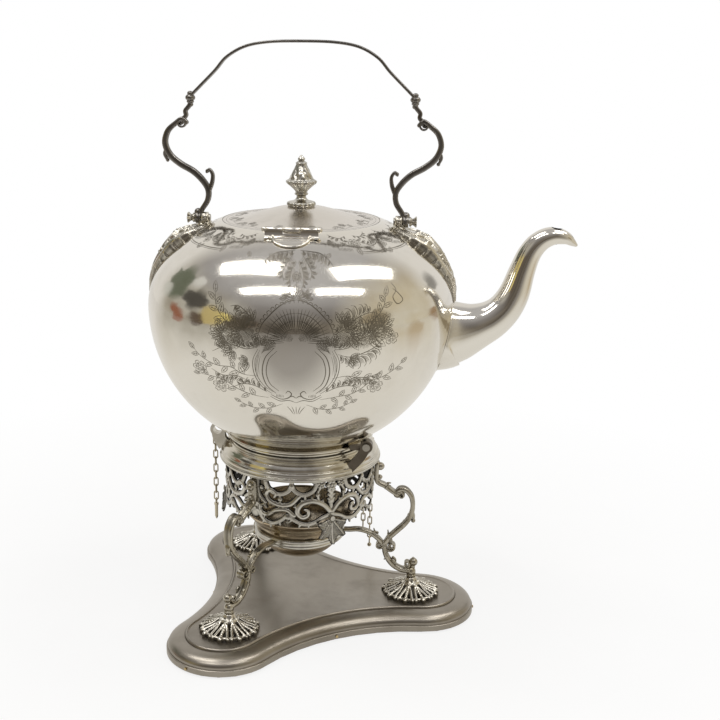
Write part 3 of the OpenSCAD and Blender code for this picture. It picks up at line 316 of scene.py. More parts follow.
make_world()
add_lamp("strip_rear_left", (-0.655, 0.0, 1.54), (0.92, 0.34), -21, 5.0)
add_lamp("strip_front_left", (-0.50, -0.82, 1.54), (1.0, 0.26), -5, 3.6)
add_lamp("strip_rear_right", (0.87, 0.15, 1.54), (1.1, 0.36), 39, 5.0)
add_lamp("strip_front_right", (0.77, -0.69, 1.54), (0.9, 0.26), 20, 3.6)
view = bpy.context.scene.view_settings
view.view_transform = "Standard"
print("world and four strip lamps")

# %% [markdown]
# ## Finishes
# Old plated ware is never one colour. It darkens in the hollows, where a cloth never reaches, stays
# bright on the high points, and yellows where the plate has worn thin. Three shared groups give that:
# one finds hollows, one draws the fine polishing scratches and one clouds the colour.


# %% Group: tarnish in the hollows
def make_tarnish():
    group, given, out = new_group("tarnish", [("Clean", "NodeSocketColor", (0.7, 0.68, 0.6, 1)),
        ("Dark", "NodeSocketColor", (0.1, 0.09, 0.07, 1)), ("Amount", "NodeSocketFloat", 1.0),
        ("Spot Size", "NodeSocketFloat", 60.0), ("Smooth", "NodeSocketFloat", 0.15),
        ("Rough", "NodeSocketFloat", 0.5)], [("Color", "NodeSocketColor"),
        ("Roughness", "NodeSocketFloat"), ("Mask", "NodeSocketFloat")])
    place = put(group, "ShaderNodeTexCoord").outputs["Object"]
    hollow = put(group, "ShaderNodeAttribute", attribute_name="hollow").outputs["Fac"]
    point = put(group, "ShaderNodeNewGeometry").outputs["Pointiness"]
    dip = stretch(group, point, 0.49, 0.43)
    spots = noise(group, place, given["Spot Size"], 6.0, Roughness=0.62)
    spots = stretch(group, spots, 0.5, 0.72)
    mask = calc(group, "ADD", calc(group, "MULTIPLY", hollow, 1.0), calc(group, "MULTIPLY", dip, 0.8))
    mask = calc(group, "ADD", mask, calc(group, "MULTIPLY", spots, 0.28))
    mask = calc(group, "MULTIPLY", mask, given["Amount"], clamp=True)
    colour = mixed(group, mask, given["Clean"], given["Dark"])
    rough = put(group, "ShaderNodeMix", {"Factor": mask, 2: given["Smooth"], 3: given["Rough"]}).outputs[0]
    for name, value in (("Color", colour), ("Roughness", rough), ("Mask", mask)):
        group.links.new(value, out[name])
    return group


# %% Group: polishing scratches
def make_scratches():
    group, given, out = new_group("scratches", [("Scale", "NodeSocketFloat", 300.0)],
        [("Height", "NodeSocketFloat"), ("Streak", "NodeSocketFloat")])
    place = put(group, "ShaderNodeTexCoord").outputs["Object"]
    total = None
    for turn, long in (((0.3, 0.2, 0.9), (1, 14, 14)), ((1.1, 0.5, 0.2), (16, 1, 12)),
            ((0.2, 1.3, 2.0), (12, 15, 1))):
        laid = put(group, "ShaderNodeMapping", {"Vector": place, "Rotation": turn, "Scale": long}).outputs[0]
        lines = noise(group, laid, given["Scale"], 2.0)
        lines = stretch(group, lines, 0.62, 0.74)
        total = lines if total is None else calc(group, "ADD", total, lines)
    total = calc(group, "MULTIPLY", total, 0.5, clamp=True)
    group.links.new(total, out["Height"])
    group.links.new(total, out["Streak"])
    return group


# %% Group: clouds of worn plate
def make_clouds():
    group, given, out = new_group("worn_clouds",
        [("Color", "NodeSocketColor", (0.7, 0.68, 0.6, 1)),
        ("Worn", "NodeSocketColor", (0.6, 0.5, 0.3, 1)), ("Scale", "NodeSocketFloat", 14.0),
        ("Share", "NodeSocketFloat", 0.5)], [("Color", "NodeSocketColor")])
    place = put(group, "ShaderNodeTexCoord").outputs["Object"]
    wide = noise(group, place, given["Scale"], 5.0, Roughness=0.6, Distortion=0.4)
    share = calc(group, "MULTIPLY", stretch(group, wide, 0.42, 0.68), given["Share"], clamp=True)
    group.links.new(mixed(group, share, given["Color"], given["Worn"]), out["Color"])
    return group


TARNISH, SCRATCHES, CLOUDS = make_tarnish(), make_scratches(), make_clouds()
print("groups:", TARNISH.name, SCRATCHES.name, CLOUDS.name)


# %% Metal finishes
def rgba(colour):
    return (*colour, 1.0)


def metal(name, clean, worn, dark, smooth, rough, amount=1.0, cloud=14.0, share=0.5, spots=60.0,
          scratch=0.00002, scale=260.0):
    material, tree = new_material(name)
    clouds = put(tree, "ShaderNodeGroup", node_tree=CLOUDS)
    for key, value in (("Color", rgba(clean)), ("Worn", rgba(worn)), ("Scale", cloud), ("Share", share)):
        clouds.inputs[key].default_value = value
    tarnish = put(tree, "ShaderNodeGroup", node_tree=TARNISH)
    tree.links.new(clouds.outputs["Color"], tarnish.inputs["Clean"])
    for key, value in (("Dark", rgba(dark)), ("Amount", amount), ("Spot Size", spots), ("Smooth", smooth),
            ("Rough", rough)):
        tarnish.inputs[key].default_value = value
    lines = put(tree, "ShaderNodeGroup", node_tree=SCRATCHES)
    lines.inputs["Scale"].default_value = scale
    bump = put(tree, "ShaderNodeBump", {"Strength": 0.35, "Distance": scratch,
        "Height": lines.outputs["Height"]})
    gloss = calc(tree, "ADD", tarnish.outputs["Roughness"],
        calc(tree, "MULTIPLY", lines.outputs["Streak"], 0.06))
    surface = put(tree, "ShaderNodeBsdfPrincipled",
        {"Base Color": tarnish.outputs["Color"], "Metallic": 1.0, "Roughness": gloss,
        "Normal": bump.outputs[0]})
    put(tree, "ShaderNodeOutputMaterial", {0: surface.outputs[0]})
    return material


FINISH = {
    "silver": metal("polished_plate", (0.80, 0.775, 0.72), (0.74, 0.69, 0.60), (0.30, 0.26, 0.20),
                    0.075, 0.34, amount=0.55, cloud=9.0, share=0.6, spots=24.0),
    "lid_metal": metal("satin_lid_plate", (0.74, 0.70, 0.65), (0.66, 0.62, 0.55), (0.24, 0.21, 0.17),
                       0.23, 0.42, amount=0.6, cloud=9.0, share=0.6, spots=24.0),
    "worn_plate": metal("worn_plate", (0.70, 0.68, 0.62), (0.52, 0.455, 0.33), (0.045, 0.036, 0.025),
                        0.09, 0.36, amount=1.25, cloud=24.0, share=0.6),
    "leg_metal": metal("leg_plate", (0.47, 0.44, 0.375), (0.36, 0.32, 0.23), (0.045, 0.038, 0.028),
                       0.24, 0.55, amount=1.15, cloud=45.0, share=0.8),
    "ear_metal": metal("pivot_plate", (0.22, 0.19, 0.15), (0.13, 0.11, 0.085), (0.03, 0.026, 0.02),
                       0.3, 0.6, amount=1.0, cloud=60.0, share=0.8),
    "casting": metal("cast_plate", (0.70, 0.67, 0.60), (0.60, 0.55, 0.44), (0.075, 0.065, 0.05),
                     0.20, 0.55, amount=1.0, cloud=60.0),
    "dark_casting": metal("dark_cast_plate", (0.30, 0.285, 0.265), (0.15, 0.14, 0.125), (0.02, 0.018, 0.016),
                          0.2, 0.5, amount=1.2, cloud=50.0, share=0.9),
    "oxidised": metal("oxidised_plate", (0.64, 0.62, 0.565), (0.40, 0.375, 0.32), (0.022, 0.02, 0.017),
                      0.19, 0.5, amount=1.25, cloud=70.0, share=0.7),
    "plinth": metal("satin_worn_plate", (0.36, 0.33, 0.285), (0.25, 0.225, 0.19), (0.10, 0.085, 0.065),
                    0.30, 0.5, amount=0.75, cloud=11.0, share=0.85, spots=45.0, scratch=0.00006,
                    scale=120.0),
    "brass": metal("dull_brass", (0.62, 0.48, 0.25), (0.45, 0.34, 0.18), (0.09, 0.07, 0.04), 0.3, 0.55),
    "lamp": metal("lamp_bronze", (0.62, 0.54, 0.42), (0.50, 0.39, 0.25), (0.10, 0.08, 0.055),
                  0.17, 0.5, amount=0.9, cloud=30.0, share=0.8),
    "chain": metal("chain_wire", (0.62, 0.56, 0.43), (0.48, 0.42, 0.30), (0.08, 0.07, 0.05), 0.28, 0.55),
    "fixings": metal("fixings_plate", (0.60, 0.57, 0.50), (0.48, 0.44, 0.36), (0.09, 0.08, 0.06),
                     0.28, 0.55),
    "engraving": metal("cut_lines", (0.24, 0.22, 0.185), (0.14, 0.125, 0.10), (0.05, 0.045, 0.035),
                       0.34, 0.6, amount=0.6, cloud=120.0),
}
print("metals:", ", ".join(FINISH))


# %% Wood and cotton
def board_wood():
    material, tree = new_material("stained_board")
    place = put(tree, "ShaderNodeTexCoord").outputs["Object"]
    laid = put(tree, "ShaderNodeMapping", {"Vector": place, "Scale": (6.0, 60.0, 60.0)}).outputs[0]
    grain = noise(tree, laid, 9.0, 8.0)
    colour = mixed(tree, stretch(tree, grain, 0.35, 0.65), (0.07, 0.035, 0.018), (0.19, 0.105, 0.055))
    bump = put(tree, "ShaderNodeBump", {"Strength": 0.4, "Distance": 0.0002, "Height": grain})
    surface = put(tree, "ShaderNodeBsdfPrincipled",
        {"Base Color": colour, "Roughness": stretch(tree, grain, 0.3, 0.7, 0.55, 0.75),
        "Normal": bump.outputs[0]})
    put(tree, "ShaderNodeOutputMaterial", {0: surface.outputs[0]})
    return material


def wick_cotton():
    material, tree = new_material("wick_cotton")
    place = put(tree, "ShaderNodeTexCoord").outputs["Object"]
    weave = put(tree, "ShaderNodeTexWave", {"Vector": place, "Scale": 700.0,
        "Distortion": 3.0}).outputs["Fac"]
    charred = stretch(tree, put(tree, "ShaderNodeSeparateXYZ", {0: place}).outputs["Z"], 0.0735, 0.0748)
    colour = mixed(tree, weave, (0.70, 0.66, 0.55), (0.86, 0.83, 0.74))
    colour = mixed(tree, charred, colour, (0.05, 0.04, 0.035))
    bump = put(tree, "ShaderNodeBump", {"Strength": 0.6, "Distance": 0.0003, "Height": weave})
    surface = put(tree, "ShaderNodeBsdfPrincipled",
        {"Base Color": colour, "Roughness": 0.95, "Normal": bump.outputs[0]})
    put(tree, "ShaderNodeOutputMaterial", {0: surface.outputs[0]})
    return material


FINISH["board"], FINISH["wick"] = board_wood(), wick_cotton()
slots = {part["node"]: part["material_slot"] for part in frame["record"]["subparts"]}
for name, node in nodes.items():
    node.data.materials.clear()
    node.data.materials.append(FINISH["ear_metal" if "_ear_" in name else slots[name]])
print("every CAD node has its finish")

# %% [markdown]
# ## Making shapes
# Three ways of making cover nearly all of the kettle. A turned part is a profile spun round the upright
# axis, as on a lathe. A rod, strap or tube is a section moved along a smooth line. Cast ornament is a
# pattern of strands laid on a surface: the pattern's own edge cuts it out, and each strand is rounded.


# %% Mesh helper
def make_piece(name, points, faces, finish, body=None, replaces=(), sharp=38, hollow=None, slot=None):
    mesh = bpy.data.meshes.new(name)
    mesh.from_pydata((np.asarray(points, float) * MM).tolist(), [], [list(map(int, f)) for f in faces])
    mesh.materials.append(FINISH[finish])
    mesh.polygons.foreach_set("use_smooth", np.ones(len(mesh.polygons), bool))
    mesh.update()
    mesh.set_sharp_from_angle(angle=math.radians(sharp))
    if hollow is not None:
        mark = mesh.attributes.new("hollow", "FLOAT", "POINT")
        mark.data.foreach_set("value", np.asarray(hollow, np.float32))
    piece = bpy.data.objects.new(name, mesh)
    bpy.context.scene.collection.objects.link(piece)
    if body:
        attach(piece, body)
    if replaces:
        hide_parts(*replaces)
    slot or (slots[replaces[0]] if replaces else finish)
    return piece


def full_turn(count):
    """Angles all the way round, evenly spaced, without the first one again at the end."""
    return np.linspace(0, 2 * np.pi, count, endpoint=False)


def smooth_line(points, steps=8):
    p = np.asarray(points, float)
    p = np.vstack([2 * p[0] - p[1], p, 2 * p[-1] - p[-2]])
    t = np.linspace(0, 1, steps, endpoint=False)[:, None]
    runs = []
    for a, b, c, d in zip(p[:-3], p[1:-2], p[2:-1], p[3:]):
        runs.append(0.5 * (2 * b + (c - a) * t + (2 * a - 5 * b + 4 * c - d) * t ** 2
                           + (3 * b - a - 3 * c + d) * t ** 3))
    return np.vstack(runs + [p[-2:-1]])


print("mesh helpers ready")


# %% Turned parts
def grid_faces(rows, columns, around=True, round_rows=False):
    i, j = np.meshgrid(np.arange(rows if round_rows else rows - 1),
        np.arange(columns if around else columns - 1), indexing="ij")
    k, m = (j + 1) % columns, (i + 1) % rows
    return np.stack([i * columns + j, i * columns + k, m * columns + k, m * columns + j], -1).reshape(-1, 4)


def turned(name, profile, finish, body, replaces=(), around=192, wave=None, sharp=38, centre=(0, 0),
        hollow=None):
    """A profile of radius and height spun round the upright axis. wave(turn, radius, height) can
    change the radius, for lobes and leaves. A profile that comes back to its start makes a ring."""
    profile = np.asarray(profile, float)
    ring = np.allclose(profile[0], profile[-1])
    low, high = (not ring and profile[0, 0] < 1e-6), (not ring and profile[-1, 0] < 1e-6)
    used = profile[:-1] if ring else profile[int(low):len(profile) - int(high)]
    turn = full_turn(around)
    a = np.repeat(turn[None], len(used), 0)
    r, z = np.repeat(used[:, :1], around, 1), np.repeat(used[:, 1:2], around, 1)
    if wave:
        r = wave(a, r, z)
    points = np.stack([centre[0] + r * np.cos(a), centre[1] + r * np.sin(a), z], -1).reshape(-1, 3).tolist()
    faces = grid_faces(len(used), around, round_rows=ring).tolist()
    if low:
        points.append((*centre, profile[0, 1]))
        faces += [[len(points) - 1, (j + 1) % around, j] for j in range(around)]
    if high:
        last = (len(used) - 1) * around
        points.append((*centre, profile[-1, 1]))
        faces += [[len(points) - 1, last + j, last + (j + 1) % around] for j in range(around)]
    marks = None
    if hollow is not None:
        marks = np.zeros(len(points))
        marks[:len(used) * around] = np.repeat(np.asarray(hollow, float), around)
    return make_piece(name, points, faces, finish, body, replaces, sharp, marks)


def rounded(profile, steps=4):
    """Rounds every corner of a profile with a short curve."""
    p = np.asarray(profile, float)
    out = [p[0]]
    for a, b, c in zip(p[:-2], p[1:-1], p[2:]):
        reach = 0.35 * min(np.linalg.norm(b - a), np.linalg.norm(c - b))
        start = b + (a - b) / max(np.linalg.norm(a - b), 1e-9) * reach
        end = b + (c - b) / max(np.linalg.norm(c - b), 1e-9) * reach
        for t in np.linspace(0, 1, steps):
            out.append((1 - t) ** 2 * start + 2 * t * (1 - t) * b + t * t * end)
    return np.array(out + [p[-1]])


print("turning helpers ready")

# %% [markdown]
# ## Kettle body
# The bulb was raised and then finished on a lathe. Below its widest line it is nearly half a ball, and
# above it is flatter. The profile is worked out from the same ellipses as the construction model, but
# with many more steps, because a mirror finish shows every flat.

# %% Body
BODY_R, BODY_Z, BODY_UP, BODY_DOWN, BODY_WALL = 98.0, 213.0, 62.8, 96.6, 1.2
MOUTH_R, FOOT_R = 50.5, 48.5
MOUTH_Z = BODY_Z + BODY_UP * math.sqrt(1 - (MOUTH_R / BODY_R) ** 2)
LEDGE_Z = MOUTH_Z - 2.2
BASE_Z = BODY_Z - BODY_DOWN * math.sqrt(1 - (FOOT_R / BODY_R) ** 2) - 2


def body_profile():
    low = np.linspace(math.asin(FOOT_R / BODY_R), math.pi / 2, 56)
    high = np.linspace(0, math.acos(MOUTH_R / BODY_R), 44)[1:]
    wall = [(BODY_R * math.sin(a), BODY_Z - BODY_DOWN * math.cos(a)) for a in low]
    wall += [(BODY_R * math.cos(a), BODY_Z + BODY_UP * math.sin(a)) for a in high]
    inner_r = BODY_R - BODY_WALL
    top = math.asin((LEDGE_Z - 1.2 - BODY_Z) / (BODY_UP - BODY_WALL))
    inside = [(inner_r * math.cos(a), BODY_Z + (BODY_UP - BODY_WALL) * math.sin(a))
              for a in np.linspace(top, 0, 24)]
    inside += [(inner_r * math.sin(a), BODY_Z - (BODY_DOWN - BODY_WALL) * math.cos(a))
               for a in np.linspace(math.pi / 2, math.asin(46.5 / inner_r), 28)[1:]]
    lip = [(MOUTH_R - 0.4, MOUTH_Z), (MOUTH_R - 0.4, LEDGE_Z), (46.8, LEDGE_Z), (46.8, LEDGE_Z - 1.2)]
    return [(0, BASE_Z), (46, BASE_Z)] + wall + lip + inside + [(0, BASE_Z + BODY_WALL)]


body = turned("body_bulb", body_profile(), "silver", "kettle", ["kettle_body"], around=320, sharp=30)
print("body:", len(body.data.vertices), "points, mouth at", round(MOUTH_Z, 1), "mm")

# %% [markdown]
# ## Collar and stand ring
# Under the bulb sit two turned mouldings that look like one: the kettle's own foot collar, and the ring
# of the stand that it rests in. Their beads and hollows are rounded from a simple profile.


# %% Collar and ring
def collar_profile():
    b, t, r = 122.3, BASE_Z - 0.05, 49.0
    return rounded([(42, b), (45.3, b), (45.7, b + 1.2), (45.3, b + 2.2), (r - 1.4, b + 2.6),
        (r - 0.2, b + 3.4), (r, b + 4.2), (r - 0.8, min(b + 4.7, t)), (r - 2.2, t), (42, t), (42, b)])


def ring_profile():
    t, b, r, q = 122.0, 108.0, 53.7, 46.0
    return rounded([(43, t), (q, t), (q, t - 1), (q + 0.8, t - 1.2), (q + 0.9, t - 2.2), (q + 2, t - 2.8),
        (q + 3.6, t - 4.2), (q + 4.8, t - 6), (q + 5.3, t - 7.8), (r - 1.6, t - 8.4), (r - 1, t - 9.4),
        (r - 0.9, b + 3), (r, b + 2.4), (r, b + 1.2), (r - 1.2, b + 0.4), (r - 1.2, b), (49.55, b),
        (49.55, b + 4), (43, t - 3), (43, t)])


turned("foot_collar", collar_profile(), "worn_plate", "kettle", ["kettle_collar"], sharp=50)
ring = turned("stand_ring_turned", ring_profile(), "worn_plate", "stand", ["stand_ring"], around=240,
    sharp=50)
print("collar and ring turned")

# %% [markdown]
# ## Lid and finial
# The lid is a shallow dome with a flat button in the middle, where the cast finial is screwed down.
# The finial is a bud: a gadrooned foot, a thin neck, a ribbed bulb and a leafy point.


# %% Lid
LID_RISE = 8.4


def lid_profile():
    r, low, top = MOUTH_R - 0.8, LEDGE_Z + 0.3, MOUTH_Z + LID_RISE
    dome = [(r + (8 - r) * t, MOUTH_Z + LID_RISE * (1 - math.cos(t * math.pi / 2) ** 1.6))
            for t in np.linspace(0, 1, 40)]
    back = [(x - 0.4, z - 1.2) for x, z in dome[::-1][:-6]]
    plug = MOUTH_R - 4.4
    return ([(r, low)] + dome + [(0, top), (0, top - 1.2)] + back + [(plug - 1, low + 0.4),
        (plug - 1, low - 4.5), (plug, low - 4.5), (plug, low), (r, low)])


lid_points = lid_profile()
centre_at = [i for i, p in enumerate(lid_points) if p[0] == 0][0]
lid_points = lid_points[centre_at + 1:-1] + lid_points[:centre_at + 1]
turned("lid_dome", lid_points, "lid_metal", "lid_body", ["lid"], around=240, sharp=30)
lid_top = MOUTH_Z + LID_RISE
print("lid rises to", round(lid_top, 1))


# %% Finial
def finial_wave(a, r, z):
    h = z - lid_top
    foot = np.clip((h - 0.4) / 0.8, 0, 1) * np.clip((3.4 - h) / 0.8, 0, 1)
    bulb = np.clip((h - 8.5) / 2, 0, 1) * np.clip((18.5 - h) / 2, 0, 1)
    leaf = np.clip((h - 17) / 2, 0, 1) * np.clip((28 - h) / 3, 0, 1)
    lobes = foot * 0.08 * (np.abs(np.cos(9 * a)) - 0.9) + bulb * 0.09 * (np.abs(np.cos(6 * a)) - 0.85)
    curl = 1 + 0.35 * np.sin(1.9 * h + 3 * np.cos(3 * a))
    twist = leaf * 0.12 * (np.abs(np.cos(3 * a + 0.22 * h)) - 0.6) * curl
    return r * (1 + lobes + twist)


def finial_profile():
    z, r = lid_top + 0.05, 9.7
    p = smooth_line([(9.0, z + 0.9), (9.2, z + 1.5), (8.6, z + 2.6), (6.6, z + 3.2), (4.6, z + 3.8),
        (3.3, z + 5.2), (3.1, z + 6.6), (4.2, z + 7.3), (4.3, z + 8.0), (3.7, z + 8.8), (4.6, z + 10.2),
        (7.2, z + 12.6), (9.2, z + 14.2), (r, z + 15.1), (9.5, z + 16.0), (7.9, z + 16.9),
        (7.2, z + 18.2), (6.3, z + 20.2), (4.9, z + 22.8), (3.7, z + 25.0), (3.3, z + 26.2),
        (3.6, z + 27.0), (2.6, z + 27.9), (1.9, z + 28.4), (2.3, z + 29.2), (2.2, z + 29.9),
        (1.4, z + 30.8), (0.7, z + 31.7)], 5)
    return [(0, z), (8.4, z)] + p.tolist() + [(0, z + 32)]


turned("finial_bud", finial_profile(), "oxidised", "lid_body", ["finial"], around=160, wave=finial_wave,
    sharp=60)
print("finial made")

# %% [markdown]
# ## Joining shapes
# A casting is one piece of metal with many forms in it: a strap, a curl, a bead. Each form below is made
# as its own points and faces, and a casting is the list of them joined in one mesh.


# %% Forms for castings
def joined(forms):
    points, faces, marks, start = [], [], [], 0
    for form in forms:
        points.append(np.asarray(form[0], float).reshape(-1, 3))
        faces += [[start + i for i in face] for face in form[1]]
        marks.append(np.asarray(form[2], float) if len(form) > 2 else np.zeros(len(points[-1])))
        start += len(points[-1])
    return np.vstack(points), faces, np.concatenate(marks)


def turned_by(form, degrees=0.0, mirror=False, shift=(0, 0, 0)):
    """The same form turned about the upright axis, mirrored left to right or moved."""
    points = np.array(form[0], float).reshape(-1, 3) + np.asarray(shift, float)
    faces = form[1]
    if mirror:
        points[:, 0] *= -1
        faces = [list(face)[::-1] for face in faces]
    c, s = math.cos(math.radians(degrees)), math.sin(math.radians(degrees))
    points = points @ np.array([[c, s, 0], [-s, c, 0], [0, 0, 1]])
    return (points, faces, *form[2:])


def tube_faces(rows, around):
    faces = [[int(i) for i in face] for face in grid_faces(rows, around)]
    return faces + [list(range(around))[::-1], [(rows - 1) * around + j for j in range(around)]]


def strap(line, t0, t1, depth, steps=6, groove=0.22, around=24, y=0.0, depth1=None, square=0.6, swell=0.0):
    """A cast strap along a smooth line in the XZ plane. It is thick across the line, deep along Y, has
    rounded edges and ends, and a shallow groove down each broad face."""
    p = smooth_line([(a, b) for a, b in line], steps)
    way = np.gradient(p, axis=0)
    way /= np.linalg.norm(way, axis=1)[:, None]
    share = np.linspace(0, 1, len(p))
    thick = t0 + (t1 - t0) * share + swell * np.sin(np.pi * share) ** 1.3
    deep = depth + ((depth1 or depth) - depth) * share
    ends = np.radians([85, 60, 30])
    first = [(p[0] - way[0] * thick[0] / 2 * math.sin(e), way[0], thick[0] * math.cos(e),
        deep[0] * math.cos(e) ** 0.5) for e in ends]
    last = [(p[-1] + way[-1] * thick[-1] / 2 * math.sin(e), way[-1], thick[-1] * math.cos(e),
        deep[-1] * math.cos(e) ** 0.5) for e in ends[::-1]]
    rows = first + list(zip(p, way, thick, deep)) + last
    q = full_turn(around)
    cq, sq = np.cos(q), np.sin(q)
    out, marks = [], []
    for at, d, t, w in rows:
        across = w / 2 * np.sign(cq) * np.abs(cq) ** square
        dip = np.exp(-(across / (0.2 * w + 1e-6)) ** 2)
        off = t / 2 * np.sign(sq) * np.abs(sq) ** square * (1 - groove * dip)
        out.append(np.stack([at[0] - d[1] * off, y + across, at[1] + d[0] * off], 1))
        marks.append(dip * np.abs(sq) * (1.6 * groove))
    return np.vstack(out), tube_faces(len(rows), around), np.concatenate(marks)


def spiral(x, z, radius, turns, start, t0, t1, depth, steps=26, inner=0.22, **more):
    """A volute: a strap that winds inwards. start is the angle of its outer end; turns may be negative."""
    s = np.linspace(0, 1, steps)
    a = math.radians(start) + 2 * math.pi * turns * s
    r = radius * (1 - (1 - inner) * s ** 0.8)
    return strap(np.stack([x + r * np.cos(a), z + r * np.sin(a)], 1), t0, t1, depth, steps=2, **more)


def ball(x, y, z, radius, squash=1.0, lobes=0, deep=0.0, rows=12, around=28):
    """A bead or bud: a small ball, flatter or taller by squash, with lobes round its upright axis."""
    v = np.linspace(0, np.pi, rows + 2)[1:-1]
    q = full_turn(around)
    lobed = 1 - deep * (1 - np.abs(np.cos(lobes * q / 2))) if lobes else np.ones(around)
    r = radius * np.sin(v)[:, None] * lobed[None]
    points = np.stack([x + r * np.cos(q), y + r * np.sin(q),
        z + radius * squash * np.cos(v)[:, None] + 0 * q], -1)
    points = points.reshape(-1, 3)
    faces = [list(map(int, face))[::-1] for face in grid_faces(rows, around)]
    points = np.vstack([points, [(x, y, z + radius * squash), (x, y, z - radius * squash)]])
    top, low, last = len(points) - 2, len(points) - 1, (rows - 1) * around
    faces += [[top, j, (j + 1) % around] for j in range(around)]
    faces += [[low, last + (j + 1) % around, last + j] for j in range(around)]
    return points, faces


def rod(ends, radius, around=20):
    """A plain round bar between two points, with a small bevel at its ends."""
    a, b = np.asarray(ends[0], float), np.asarray(ends[1], float)
    way = (b - a) / np.linalg.norm(b - a)
    one = np.cross(way, (0, 0, 1) if abs(way[2]) < 0.9 else (1, 0, 0))
    one /= np.linalg.norm(one)
    two = np.cross(way, one)
    q = full_turn(around)[:, None]
    ring = one * np.cos(q) + two * np.sin(q)
    bevel = min(0.35, radius * 0.25)
    rows = [a + ring * (radius - bevel), a + way * bevel + ring * radius, b - way * bevel + ring * radius,
        b + ring * (radius - bevel)]
    return np.vstack(rows), tube_faces(4, around)


def tidy_normals(piece):
    """Casting forms are joined from many sources, so their faces are all turned outwards once."""
    import bmesh
    mesh = bmesh.new()
    mesh.from_mesh(piece.data)
    bmesh.ops.recalc_face_normals(mesh, faces=mesh.faces)
    mesh.to_mesh(piece.data)
    mesh.free()
    piece.data.polygons.foreach_set("use_smooth", np.ones(len(piece.data.polygons), bool))


def casting(name, forms, finish, body, replaces=(), sharp=50, slot=None):
    points, faces, marks = joined(forms)
    piece = make_piece(name, points, faces, finish, body, replaces, sharp, marks, slot)
    tidy_normals(piece)
    piece.data.set_sharp_from_angle(angle=math.radians(sharp))
    return piece


print("casting helpers ready")

# %% [markdown]
# ## Spout
# The spout is a tapering tube that was soldered to the side of the bulb. Oval sections are set square to
# a centre line, and each lengthwise line of the tube starts just where it meets the bulb, so the seam
# follows the curved surface by itself. The mouth is cut open from above.

# %% Spout
SPOUT = [(76, 192.5, 22.6, 21.5), (90, 193.8, 22.6, 21.3), (95.5, 195.8, 22.1, 19.5),
    (104, 197.5, 19, 16.2), (114.5, 201, 14.6, 13.4), (123.5, 205.8, 12.3, 11.6), (131, 213, 10.6, 10.2),
    (136.4, 223, 9.3, 9.2), (140.4, 237, 7.8, 8.1), (144.6, 248.6, 6.9, 7.3), (150.6, 256.4, 6.5, 6.9),
    (158, 259.6, 5.7, 6.3), (165.5, 258.6, 4.2, 5), (170, 255.8, 2.4, 3.2), (172.8, 253.8, 0.9, 1.6)]


def outside_body(p):
    half = np.where(p[..., 2] > BODY_Z, BODY_UP, BODY_DOWN)
    return (p[..., 0] ** 2 + p[..., 1] ** 2) / BODY_R ** 2 + ((p[..., 2] - BODY_Z) / half) ** 2 - 1


def spout_shell(rows, thinner, shift, count, around):
    line = smooth_line(rows, 6)
    way = np.gradient(line[:, :2], axis=0)
    way /= np.linalg.norm(way, axis=1)[:, None]
    q = full_turn(around)
    high, wide = line[:, 2:3] - thinner, line[:, 3:4] - thinner
    grid = np.stack([line[:, :1] + shift - way[:, 1:] * high * np.sin(q), wide * np.cos(q),
        line[:, 1:2] + way[:, :1] * high * np.sin(q)], -1)
    out = outside_body(grid)
    shell = np.zeros((count, around, 3))
    t = np.arange(len(line), dtype=float)
    for j in range(around):
        inside = np.nonzero(out[:, j] < 0)[0]
        k = inside[-1] if len(inside) else 0
        start = k + out[k, j] / (out[k, j] - out[k + 1, j]) if len(inside) else 0.0
        at = start + (t[-1] - start) * np.linspace(0, 1, count)
        for axis in range(3):
            shell[:, j, axis] = np.interp(at, t, grid[:, j, axis])
    return shell


def make_spout(around=64):
    outer, inner = spout_shell(SPOUT, 0, 0, 90, around), spout_shell(SPOUT[:12], 1.1, -2, 60, around)
    points = np.vstack([outer.reshape(-1, 3), inner.reshape(-1, 3)])
    n, m = 90 * around, 60 * around
    faces = [list(map(int, f)) for f in grid_faces(90, around)]
    faces += [[int(n + i) for i in f][::-1] for f in grid_faces(60, around)]
    faces += [[(j + 1) % around, j, n + j, n + (j + 1) % around] for j in range(around)]
    faces += [[n - around + j for j in range(around)], [n + m - around + j for j in range(around)][::-1]]
    piece = make_piece("spout_neck", points, faces, "silver", "kettle", ["spout"], 40)
    tidy_normals(piece)
    cut_points, cut_faces = rod([(158.1, 0, 255), (160.6, 0, 268)], 3.4, 40)
    cutter_mesh = bpy.data.meshes.new("mouth_cutter")
    cutter_mesh.from_pydata((np.asarray(cut_points) * MM).tolist(), [], cut_faces)
    cutter = bpy.data.objects.new("mouth_cutter", cutter_mesh)
    bpy.context.scene.collection.objects.link(cutter)
    cut = piece.modifiers.new("mouth", "BOOLEAN")
    cut.operation, cut.object, cut.solver = "DIFFERENCE", cutter, "EXACT"
    depsgraph = bpy.context.evaluated_depsgraph_get()
    opened = bpy.data.meshes.new_from_object(piece.evaluated_get(depsgraph))
    piece.modifiers.clear()
    piece.data = opened
    opened.materials.clear()
    opened.materials.append(FINISH["silver"])
    bpy.data.objects.remove(cutter)
    opened.polygons.foreach_set("use_smooth", np.ones(len(opened.polygons), bool))
    opened.set_sharp_from_angle(angle=math.radians(40))
    return piece, outer[0]


spout, spout_root = make_spout()


def closed_wire(points, radius, around=10):
    """A round wire along a closed line."""
    p = np.asarray(points, float)
    way = np.roll(p, -1, 0) - np.roll(p, 1, 0)
    way /= np.linalg.norm(way, axis=1)[:, None]
    out = p - np.array([0, 0, BODY_Z])
    out /= np.linalg.norm(out, axis=1)[:, None]
    side = np.cross(way, out)
    side /= np.linalg.norm(side, axis=1)[:, None]
    q = full_turn(around)
    across, up = np.cos(q)[None, :, None], np.sin(q)[None, :, None]
    ring = p[:, None] + radius * (side[:, None] * across + out[:, None] * up)
    return ring.reshape(-1, 3), [list(map(int, f)) for f in grid_faces(len(p), around, round_rows=True)]


